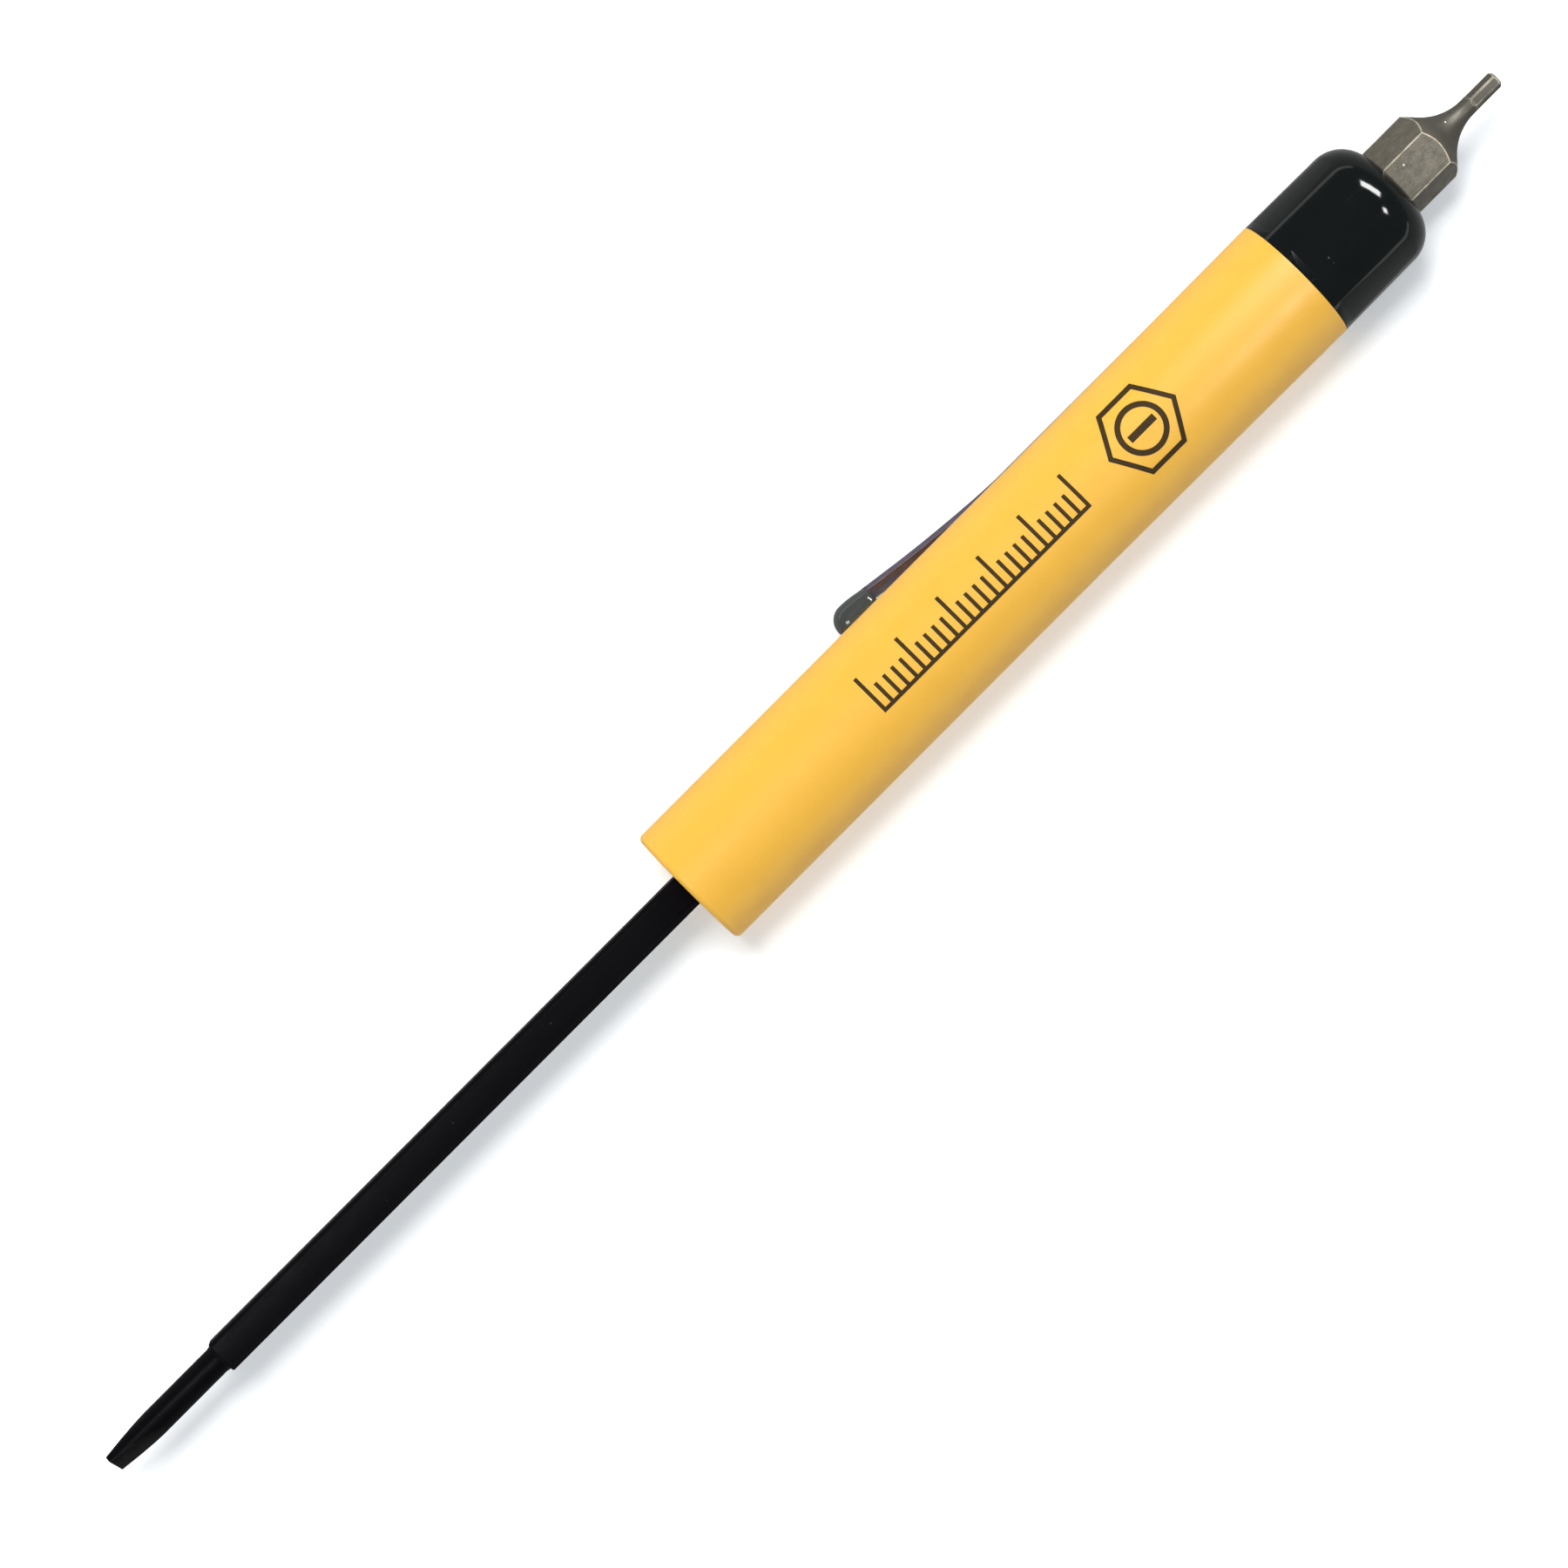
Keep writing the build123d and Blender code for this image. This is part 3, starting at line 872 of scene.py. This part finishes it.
@dataclass
class Blade:
    """The black steel blade: a square shank, a slotted tip outside and a cross tip inside."""

    width: float = 3.2
    chamfer: float = 0.38
    shoulder_round: float = 0.18
    roll: float = 4.0
    rod: float = 1.3
    rod_length: float = 13.3
    neck: float = 0.5
    flare: float = 0.1
    slot_roll: float = 60.0
    slot_half: float = 0.31
    grind_length: float = 6.3
    grind_width: float = 6.0
    cross_tip: float = 0.45
    cross_cone: float = 1.9
    cross_flute: float = 3.6
    cross_foot: float = 0.3

    def _grind(self, tip: float) -> list[Point]:
        """Side view of what the grinding of one flat takes away.

        Args:
            tip: where the slotted tip ends along the axis.

        Returns:
            Its corners as (x, height).
        """
        end, half, rod = tip + self.grind_length * MM, self.slot_half * MM, self.rod * MM
        slope = (rod - half) / (end - tip)
        return [(tip - MM, half - slope * MM), (end + MM, rod + slope * MM), (end + MM, 2 * rod), (tip - MM, 2 * rod)]

    def build(self) -> Object:
        """Make the shank, join the rods and grind both tips.

        Returns:
            The finished blade.
        """
        low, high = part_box("blade")
        tip, end = low.x, high.x
        first, last = tip + self.rod_length * MM, end - self.rod_length * MM
        middle, turn = ((first + last) / 2, 0, 0), (math.radians(self.roll), 0, 0)
        deselect_all()
        bpy.ops.mesh.primitive_cube_add(size=1.0, location=middle, rotation=turn)
        blade = bpy.context.object
        blade.name = "blade_steel"
        blade.scale = (last - first, self.width * MM, self.width * MM)
        bpy.ops.object.transform_apply(location=True, rotation=True, scale=True)
        with editing(blade, "EDGE"):
            pick(blade, "edges", lambda edge: abs(edge.verts[0].co.x - edge.verts[1].co.x) > MM)
            bpy.ops.mesh.bevel(offset=self.chamfer * MM, segments=1, affect="EDGES")
            pick(blade, "edges", lambda edge: abs(edge.verts[0].co.x - edge.verts[1].co.x) < 0.01 * MM)
            bpy.ops.mesh.bevel(offset=self.shoulder_round * MM, segments=2, affect="EDGES")
        rod, flare, neck = self.rod * MM, (self.rod + self.flare) * MM, self.neck * MM
        outline = [(tip, 0), (tip, rod), (first - neck, rod), (first, flare), (last, flare), (last + neck, rod)]
        outline += [(end - self.cross_cone * MM, rod), (end, self.cross_tip * MM), (end, 0)]
        combine(blade, turned("rods", outline, 64), Cut.JOIN)
        for side in (0.0, 180.0):
            cutter = wedge("grind", self._grind(tip), self.slot_roll + side, self.grind_width * MM)
            combine(blade, cutter, Cut.TAKE)
        for quarter in range(4):
            combine(blade, self._cross_cutter(end, self.roll + 45 + 90 * quarter), Cut.TAKE)
        return finish_edges(blade, width=0.05, sharp=20.0, soft=30.0)

    def _cross_cutter(self, end: float, roll: float) -> Object:
        """The shape that one V flute of the cross tip takes away.

        Args:
            end: where the blade's inner end is along the axis.
            roll: the flute's roll in degrees.

        Returns:
            The cutter.
        """
        top = at(end - self.cross_flute * MM, self.rod * MM, roll)
        foot = at(end, self.cross_foot * MM, roll)
        along = (foot - top).normalized()
        up = (outward(roll) - along * along.dot(outward(roll))).normalized()
        reach = 2 * MM
        ring = [top, top + (up + beside(roll)) * reach, top + (up - beside(roll)) * reach]
        return extruded("v_cutter", ring, along * (2 * self.cross_flute * MM))


@dataclass
class Cap:
    """The glossy black plug cap with its flutes and domed end."""

    length: float = 11.8
    base_radius: float = 6.3
    shoulder_radius: float = 6.22
    dome: float = 3.3
    spigot_length: float = 6.5
    spigot_radius: float = 4.87
    socket_radius: float = 4.33
    lip: float = 1.4
    flutes: int = 6
    flute_roll: float = -2.0
    flute_half_angle: float = 17.5
    flute_crown: float = 14.0
    flute_start: float = 0.8
    flute_ramp: float = 0.8
    flute_overlap: float = 0.05
    mouth_flats: float = 6.59

    def build(self) -> Object:
        """Spin the cap, cut its flutes and its hex mouth.

        Returns:
            The finished cap.
        """
        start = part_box("cap")[0].x
        foot = start + self.spigot_length * MM
        end = foot + self.length * MM
        base, shoulder, dome = self.base_radius * MM, self.shoulder_radius * MM, self.dome * MM
        mouth, bore, spigot = end - self.lip * MM, self.socket_radius * MM, self.spigot_radius * MM
        outline: list[Point] = [(mouth, 0), (mouth, bore), (start, bore), (start, spigot), (foot, spigot), (foot, base)]
        outline += arc((end - dome, shoulder - dome), dome, 90, 0, 20)
        outline += [(end, 0)]
        cap = turned("cap_shell", outline, 180)
        for number in range(self.flutes):
            combine(cap, self._flute_keeper(foot, end, number * 360 / self.flutes), Cut.KEEP)
        combine(cap, hexagon("hex_cutter", mouth - MM, end + MM, self.mouth_flats, HEX_ROLL), Cut.TAKE)
        return finish_edges(cap, width=0.24, sharp=7.0, soft=40.0, segments=3)

    def _flute_keeper(self, foot: float, end: float, turn: float) -> Object:
        """A wide drum that leaves the cap whole but for one broad, slightly crowned flute.

        Args:
            foot: where the cap meets the barrel along the axis.
            end: where the cap ends.
            turn: how far round this flute is from the first, in degrees.

        Returns:
            The drum to keep the cap inside.
        """
        start, top, crown = foot + self.flute_start * MM, self.base_radius * MM, self.flute_crown * MM
        half = math.radians(self.flute_half_angle)
        centre = top * math.cos(half) - math.sqrt(crown**2 - (top * math.sin(half)) ** 2)
        rise = top + self.flute_overlap * MM - (centre + crown)
        wide, first = crown + 2 * MM, foot - 2 * self.spigot_length * MM
        ramp, last = start - self.flute_ramp * MM, end + MM
        outline = [(first, 0), (first, wide), (ramp, wide), (ramp, crown + rise)]
        outline += [(start, crown), (last, crown), (last, 0)]
        drum = turned("flute_drum", outline, 360)
        shift(drum, outward(self.flute_roll + turn) * centre)
        return drum


@dataclass
class HexBit:
    """The quarter inch bit with a hollow neck and a small hex key tip."""

    exposed: float = 13.1
    hex_exposed: float = 4.6
    tail_chamfer: float = 0.5
    notch_start: float = 6.0
    notch_length: float = 1.6
    notch_radius: float = 3.38
    neck_radius: float = 5.1
    neck_angle: float = 46.4
    key_radius: float = 0.83
    key_flats: float = 1.5
    key_length: float = 3.3
    run_out: float = 0.3
    key_chamfer: float = 0.2
    spare: float = 0.02

    def _outline(self, tail: float, tip: float) -> list[Point]:
        """Half the bit's side view, as turned on a lathe.

        Args:
            tail: the hidden end along the axis.
            tip: the key's end.

        Returns:
            Its corners as (x, radius).
        """
        corner = HEX_FLATS / 2 / math.cos(math.radians(30)) * MM + self.spare * MM
        neck, angle, key = self.neck_radius * MM, math.radians(self.neck_angle), self.key_radius * MM
        cone_foot = key + neck * (1 - math.cos(angle))
        shoulder = tip - self.exposed * MM + self.hex_exposed * MM
        neck_end = shoulder + (corner - cone_foot) / math.tan(angle) + neck * math.sin(angle)
        notch, groove = tail + self.notch_start * MM, self.notch_radius * MM
        notch_end, slope = notch + self.notch_length * MM, corner - groove
        chamfer, key_chamfer = self.tail_chamfer * MM, self.key_chamfer * MM
        points = [(tail, 0), (tail, corner - chamfer), (tail + chamfer, corner), (notch, corner)]
        points += [(notch + slope, groove), (notch_end - slope, groove), (notch_end, corner), (shoulder, corner)]
        points += arc((neck_end, key + neck), neck, 270 - self.neck_angle, 270, 14)
        return points + [(tip - key_chamfer, key), (tip, key - key_chamfer), (tip, 0)]

    def build(self) -> Object:
        """Turn the bit, cut it to a hexagon and grind the key.

        Returns:
            The finished bit.
        """
        low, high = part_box("hex_bit")
        tail, tip = low.x, high.x
        bit = turned("bit_steel_body", self._outline(tail, tip), 144)
        combine(bit, hexagon("hex_stock", tail - MM, tip + MM, HEX_FLATS, HEX_ROLL), Cut.KEEP)
        flat, half, key = tip - self.key_length * MM, self.key_flats / 2 * MM, self.key_radius * MM
        side = [(flat, key + self.spare * MM), (flat + self.run_out * MM, half), (tip + MM, half)]
        side += [(tip + MM, 2 * key), (flat, 2 * key)]
        for number in range(6):
            combine(bit, wedge("key_cutter", side, HEX_ROLL + 60 * number, 2 * key), Cut.TAKE)
        return finish_edges(bit, width=0.05, sharp=12.0, soft=30.0)


@dataclass
class PocketClip:
    """The chromed clip: a collar inside the barrel's end, and a sprung arm with a bead."""

    thickness: float = 0.5
    stand_off: float = 0.06
    collar_radius: float = 5.27
    collar_length: float = 4.17
    tab_sink: float = 0.13
    flat_length: float = 28.2
    rise_length: float = 8.5
    rise_middle: float = 0.75
    rise_end: float = 2.27
    end_width: float = 1.65
    end_slope: float = 0.18
    bead_radius: float = 1.62
    bead_lap: float = 3.5
    bead_tail: float = 1.0
    neck_share: float = 0.84
    bead_blunt: float = 0.7

    def _line(self, root: float, end: float, height: float) -> list[Point]:
        """One long edge of the arm from its root to its end.

        Args:
            root: where the arm starts along the axis.
            end: where it ends.
            height: how far it lies from the tool's axis at its root.

        Returns:
            Its points as (x, height).
        """
        lift = root - self.flat_length * MM
        middle = lift - self.rise_length * MM
        points: list[Point] = [(root, height), (lift, height)]
        mid_height, end_height = height + self.rise_middle * MM, height + self.rise_end * MM
        mid_slope = (end_height - height) / (lift - end)
        lower = (lift, height, 0.0, middle, mid_height, mid_slope)
        upper = (middle, mid_height, mid_slope, end, end_height, self.end_slope)
        for x0, h0, m0, x1, h1, m1 in (lower, upper):
            run = x0 - x1
            for i in range(1, 11):
                u = i / 10
                smooth_step = u * u * (3 - 2 * u)
                bend = u * (1 - u) ** 2 * m0 - u * u * (1 - u) * m1
                points.append((x0 - u * run, h0 + (h1 - h0) * smooth_step + run * bend))
        return points

    def build_arm(self) -> Object:
        """Make the arm's strip and its bead.

        Returns:
            The finished arm.
        """
        low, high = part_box("clip_arm")
        root, end = high.x, low.x + self.bead_lap * MM
        inner = (BARREL_END + self.stand_off) * MM
        outer = inner + self.thickness * MM
        side = self._line(root, end, inner) + self._line(root, end, outer)[::-1]
        arm = wedge("clip_spring_arm", side, CLIP_ROLL, CLIP_STRIP * MM)
        for edge in (1, -1):
            combine(arm, self._taper_cutter(root - self.flat_length * MM, end, edge), Cut.TAKE)
        combine(arm, self._bead(low.x, end, inner + self.bead_radius * MM), Cut.JOIN)
        return finish_edges(arm, width=0.1, sharp=40.0, soft=40.0, segments=3)

    def _taper_cutter(self, lift: float, end: float, edge: int) -> Object:
        """What narrows one long edge of the arm towards its bead.

        Args:
            lift: where the arm starts to rise along the axis.
            end: where the arm ends.
            edge: 1 for the upper edge, -1 for the lower one.

        Returns:
            The cutter.
        """
        wide, narrow = edge * CLIP_STRIP / 2 * MM, edge * self.end_width / 2 * MM
        step = (wide - narrow) / (lift - end) * MM
        corners = [(lift + MM, wide + step), (end - MM, narrow - step), (end - MM, 2 * wide), (lift + MM, 2 * wide)]
        foot = BARREL_BORE * MM
        ring = [at(x, foot, CLIP_ROLL, across) for x, across in corners]
        return extruded("taper_cutter", ring, outward(CLIP_ROLL) * 2 * foot)

    def _bead(self, bead_end: float, arm_end: float, height: float) -> Object:
        """The blunt drop at the arm's end.

        Args:
            bead_end: where the bead ends along the axis.
            arm_end: where the arm's strip ends inside it.
            height: how far the bead's own axis is from the tool's axis.

        Returns:
            The bead.
        """
        radius = self.bead_radius * MM
        centre, tail, blunt = bead_end + radius, arm_end + self.bead_tail * MM, self.bead_blunt * MM
        drop = (1 - self.neck_share) * radius
        outline = arc((centre, 0), radius, 180, 90, 14)
        for i in range(1, 9):
            u = i / 8
            outline.append((centre + (tail - blunt - centre) * u, radius - drop * u * u))
        outline += arc((tail - blunt, radius - drop - blunt), blunt, 75, 0, 6)
        bead = turned("clip_bead", [*outline, (tail, 0.0)], 64)
        shift(bead, outward(CLIP_ROLL) * height)
        return bead

    def build_collar(self) -> Object:
        """Make the ring inside the barrel and the tab that comes out of its notch.

        Returns:
            The finished collar.
        """
        end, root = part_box("clip_collar")[1].x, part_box("clip_arm")[1].x
        start, bore, outer = end - self.collar_length * MM, BARREL_BORE * MM, self.collar_radius * MM
        collar = turned("clip_ring", [(start, bore), (start, outer), (end, outer), (end, bore)], closed=True)
        inner, thick, foot = (BARREL_END + self.stand_off) * MM, self.thickness * MM, outer - self.tab_sink * MM
        side: list[Point] = [(end - thick, foot), (end - thick, inner), (root, inner), (root, inner + thick)]
        side += arc((end - thick, inner), thick, 90, 0, 8)
        combine(collar, wedge("tab", [*side, (end, foot)], CLIP_ROLL, CLIP_STRIP * MM), Cut.JOIN)
        return finish_edges(collar, width=0.05, sharp=40.0, soft=35.0)


@dataclass
class BarrelPrint:
    """What is printed on the barrel: a short plain scale, and a sign of a hexagon, a ring and a slot."""

    scale_start: float = 94.5
    tick_gap: float = 1.0
    group: int = 5
    groups: int = 5
    stroke: float = 0.36
    foot: float = -1.0
    long_tick: float = 3.6
    short_tick: float = 2.1
    sign_x: float = 127.5
    sign_y: float = 0.3
    hexagon_radius: float = 4.1
    ring_radius: float = 2.4
    sign_stroke: float = 0.52
    slot_length: float = 3.0
    slot_share: float = 1.3
    drawn_at: float = 9.0
    film: float = 0.02
    lift: float = 0.014

    def build(self, barrel: Object) -> Object:
        """Draw the print flat above the barrel and wrap it on.

        Args:
            barrel: the finished shell.

        Returns:
            The print as a thin film of ink.
        """
        start, gap, group, stroke = self.scale_start, self.tick_gap, self.group, self.stroke
        length = gap * group * self.groups
        base = self._stroke(start + length / 2, self.foot - stroke / 2, length + stroke, stroke)
        long_ticks = self._stroke(start, self.foot + self.long_tick / 2, stroke, self.long_tick)
        self._repeat(long_ticks, self.groups + 1, gap * group)
        short_ticks = self._stroke(start + gap, self.foot + self.short_tick / 2, stroke, self.short_tick)
        self._repeat(short_ticks, group - 1, gap)
        self._repeat(short_ticks, self.groups, gap * group)
        rings = [self._ring(self.hexagon_radius, 6, 11), self._ring(self.ring_radius, 64, 1)]
        slot = self._stroke(self.sign_x, self.sign_y, self.slot_length, self.sign_stroke * self.slot_share)
        deselect_all()
        for mark in (base, long_ticks, short_ticks, *rings, slot):
            mark.select_set(True)
        bpy.context.view_layer.objects.active = base
        bpy.ops.object.join()
        film = bpy.context.object
        film.name = "barrel_print"
        apply_modifier(
            film,
            "SHRINKWRAP",
            target=barrel,
            wrap_method="PROJECT",
            wrap_mode="ABOVE_SURFACE",
            use_project_z=True,
            use_negative_direction=True,
            use_positive_direction=False,
            offset=self.lift * MM,
        )
        apply_modifier(film, "SOLIDIFY", thickness=self.film * MM, offset=-1.0)
        smooth(film, 30)
        return film

    def _stroke(self, x: float, y: float, length: float, width: float) -> Object:
        """A flat rectangle in small faces.

        Args:
            x: its middle along the tool, in millimetres.
            y: its middle across the tool.
            length: its size along the tool.
            width: its size across the tool.

        Returns:
            The rectangle, above the barrel and facing up.
        """
        deselect_all()
        bpy.ops.mesh.primitive_plane_add(size=1.0, location=(x * MM, y * MM, self.drawn_at * MM))
        mark = bpy.context.object
        mark.scale = (length * MM, width * MM, 1.0)
        bpy.ops.object.transform_apply(location=True, rotation=True, scale=True)
        with editing(mark):
            on_all(bpy.ops.mesh.subdivide, number_cuts=7)
        return mark

    @staticmethod
    def _repeat(mark: Object, count: int, gap: float) -> None:
        """Copy a mark along the tool, a number of times, at a gap in millimetres."""
        step = (gap * MM, 0.0, 0.0)
        relative = {"use_relative_offset": False, "use_constant_offset": True}
        apply_modifier(mark, "ARRAY", count=count, **relative, constant_offset_displace=step)

    def _ring(self, radius: float, steps: int, cuts: int) -> Object:
        """A flat ring round the sign's middle.

        Args:
            radius: its outer radius in millimetres.
            steps: its number of sides.
            cuts: how often each side is subdivided.

        Returns:
            The ring, above the barrel and facing up.
        """
        centre = Vector((self.sign_x, self.sign_y, self.drawn_at)) * MM
        inner = (radius - self.sign_stroke) * MM
        mark = chain("ring", [centre + Vector((inner, 0, 0)), centre + Vector((radius * MM, 0, 0))])
        with editing(mark):
            on_all(bpy.ops.mesh.spin, steps=steps, angle=math.tau, center=centre, axis=(0, 0, 1))
            on_all(bpy.ops.mesh.remove_doubles, threshold=SAME_PLACE)
            bpy.ops.mesh.subdivide(number_cuts=cuts)
            pick(mark, "faces", lambda face: face.normal.z < 0)
            bpy.ops.mesh.flip_normals()
        return mark


# ------------------------------------------------------------------ studio


@dataclass(frozen=True)
class Lamp:
    """One rectangular area light. It faces the tool's axis at x = target, and hangs that way from it."""

    name: str
    target: float
    way: tuple[float, float, float]
    width: float
    height: float
    radiance: float
    distance: float = 0.5
    seen: Seen = Seen.MIRRORED

    def hang(self) -> None:
        """Put the light in place."""
        target = Vector((self.target, 0.0, 0.0))
        place = target + Vector(self.way).normalized() * self.distance
        deselect_all()
        bpy.ops.object.light_add(type="AREA", location=place)
        light = bpy.context.object
        light.name = self.name
        light.rotation_euler = (target - place).to_track_quat("-Z", "Y").to_euler()
        light.data.shape = "RECTANGLE"
        light.data.size, light.data.size_y = self.width, self.height
        light.data.energy = self.radiance * math.pi * self.width * self.height
        light.visible_glossy = self.seen is Seen.MIRRORED
        light.visible_diffuse = self.seen is Seen.LIT


STRIP = {"width": 0.5, "height": 0.012, "radiance": 0.8}
SKYLINE = {"width": 1.0, "height": 0.05, "radiance": 1.5}
LAMPS = (
    Lamp("key", 0.1, (0.1, 0.38, 0.92), width=0.38, height=0.38, radiance=16.3, distance=0.9, seen=Seen.LIT),
    Lamp("end_window", 0.157, (0.65, 0.28, 0.7), width=0.31, height=0.12, radiance=36.0),
    Lamp("tip_window", 0.147, (-0.56, 0.11, 0.82), width=0.12, height=0.2, radiance=9.0),
    Lamp("low_spot", 0.156, (0.4, -0.39, 0.83), width=0.09, height=0.07, radiance=36.0),
    Lamp("clip_side_strip", 0.12, (0.0, 0.47, 0.88), **STRIP),
    Lamp("far_side_strip", 0.12, (0.0, -0.34, 0.94), **STRIP),
    Lamp("clip_side_skyline", 0.12, (0.0, 1.0, 0.08), **SKYLINE),
    Lamp("far_side_skyline", 0.12, (0.0, -1.0, 0.08), **SKYLINE),
)


@dataclass
class Studio:
    """Floor, room, lights and camera."""

    floor_size: float = 6.0
    camera_x: float = 0.08373
    camera_y: float = 0.0005
    camera_height: float = 0.53
    lens: float = 138.69
    tool_angle: float = 45.07
    table_glow: Colour = (0.25, 0.28, 0.305)
    table_mirrored: float = 0.4
    room: float = 0.46
    room_mirrored: float = 0.25

    def build(self) -> None:
        """Make everything that isn't the tool."""
        self._floor(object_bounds()[0].z)
        self._world()
        for lamp in LAMPS:
            lamp.hang()
        self._camera()

    def _floor(self, height: float) -> None:
        """A wide pale light table under the tool, dimmer in reflections.

        Args:
            height: where its surface is, in metres.
        """
        deselect_all()
        bpy.ops.mesh.primitive_plane_add(size=self.floor_size, location=(self.camera_x, 0, height))
        floor = bpy.context.object
        floor.name = "studio_floor"
        material, graph, shader = new_material("paper_floor")
        mottle = graph.noise(graph.coordinates(), 0.4, 3.0)
        graph.feed(shader, "Base Color", graph.mix(mottle, (0.96, 0.96, 0.96), (0.95, 0.95, 0.95)))
        shader.inputs["Roughness"].default_value = 0.9
        shader.inputs["Specular IOR Level"].default_value = 0.1
        shader.inputs["Emission Color"].default_value = (*self.table_glow, 1.0)
        shader.inputs["Emission Strength"].default_value = 1.0
        dim = graph.add("Emission", Color=WHITE, Strength=self.table_mirrored)
        path = graph.add("LightPath").outputs
        either = graph.add("MixShader", path["Is Glossy Ray"], shader.outputs[0], dim.outputs[0])
        output = next(node for node in graph.tree.nodes if node.type == "OUTPUT_MATERIAL")
        graph.feed(output, "Surface", either.outputs[0])
        floor.data.materials.append(material)
        floor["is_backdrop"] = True

    def _world(self) -> None:
        """Even pale light all round, darker in reflections."""
        world = bpy.data.worlds.new("soft_room")
        bpy.context.scene.world = world
        world.use_nodes = True
        graph = Graph(world.node_tree)
        path = graph.add("LightPath").outputs
        room = graph.add("Background", Color=WHITE, Strength=self.room).outputs[0]
        seen = graph.add("Background", Color=WHITE, Strength=1.0).outputs[0]
        mirrored = graph.add("Background", Color=(0.8, 0.95, 1.0), Strength=self.room_mirrored).outputs[0]
        around = graph.add("MixShader", path["Is Glossy Ray"], room, mirrored).outputs[0]
        whole = graph.add("MixShader", path["Is Camera Ray"], around, seen).outputs[0]
        graph.add("OutputWorld", Surface=whole)

    def _camera(self) -> None:
        """The camera, straight above the tool, with the tool across its view from corner to corner."""
        place = Vector((self.camera_x, self.camera_y, self.camera_height))
        angle = math.radians(self.tool_angle)
        right = Vector((math.cos(angle), -math.sin(angle), 0.0))
        up = Vector((math.sin(angle), math.cos(angle), 0.0))
        data = bpy.data.cameras.new("camera")
        data.lens = self.lens
        data.sensor_width = 36.0
        data.clip_start, data.clip_end = 0.01, 20.0
        camera = bpy.data.objects.new("camera", data)
        bpy.context.scene.collection.objects.link(camera)
        turn = Matrix((right, up, Vector((0, 0, 1)))).transposed().to_4x4()
        camera.matrix_world = Matrix.Translation(place) @ turn
        bpy.context.scene.camera = camera


def main() -> None:
    """Load the frame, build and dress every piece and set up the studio."""
    logging.basicConfig(level=logging.INFO, format="%(message)s")
    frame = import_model()
    bpy.context.scene.view_settings.view_transform = "Standard"
    effects = Effects()
    made = {finish.name: finish.material(effects) for finish in PLASTICS + METALS}

    barrel = Barrel().build()
    settle(barrel, Body.HANDLE, "yellow_plastic", made["yellow_plastic"], "barrel")
    settle(BarrelPrint().build(barrel), Body.HANDLE, "black_plastic", made["print_ink"])
    settle(Blade().build(), Body.BLADE, "black_oxide_steel", made["black_oxide"], "blade")
    settle(Cap().build(), Body.HANDLE, "black_plastic", made["black_plastic"], "cap")
    settle(HexBit().build(), Body.BIT, "bit_steel", made["bit_steel"], "hex_bit")
    clip = PocketClip()
    settle(clip.build_arm(), Body.CLIP, "clip_chrome", made["clip_chrome"], "clip_arm")
    settle(clip.build_collar(), Body.HANDLE, "clip_chrome", made["clip_chrome"], "clip_collar")
    for node, finish in HIDDEN.items():
        for slot in frame["nodes"][node].material_slots:
            slot.material = made[finish.name]
        LOG.info("%s: kept from the CAD model", node)
    Studio().build()


if __name__ == "__main__":
    main()
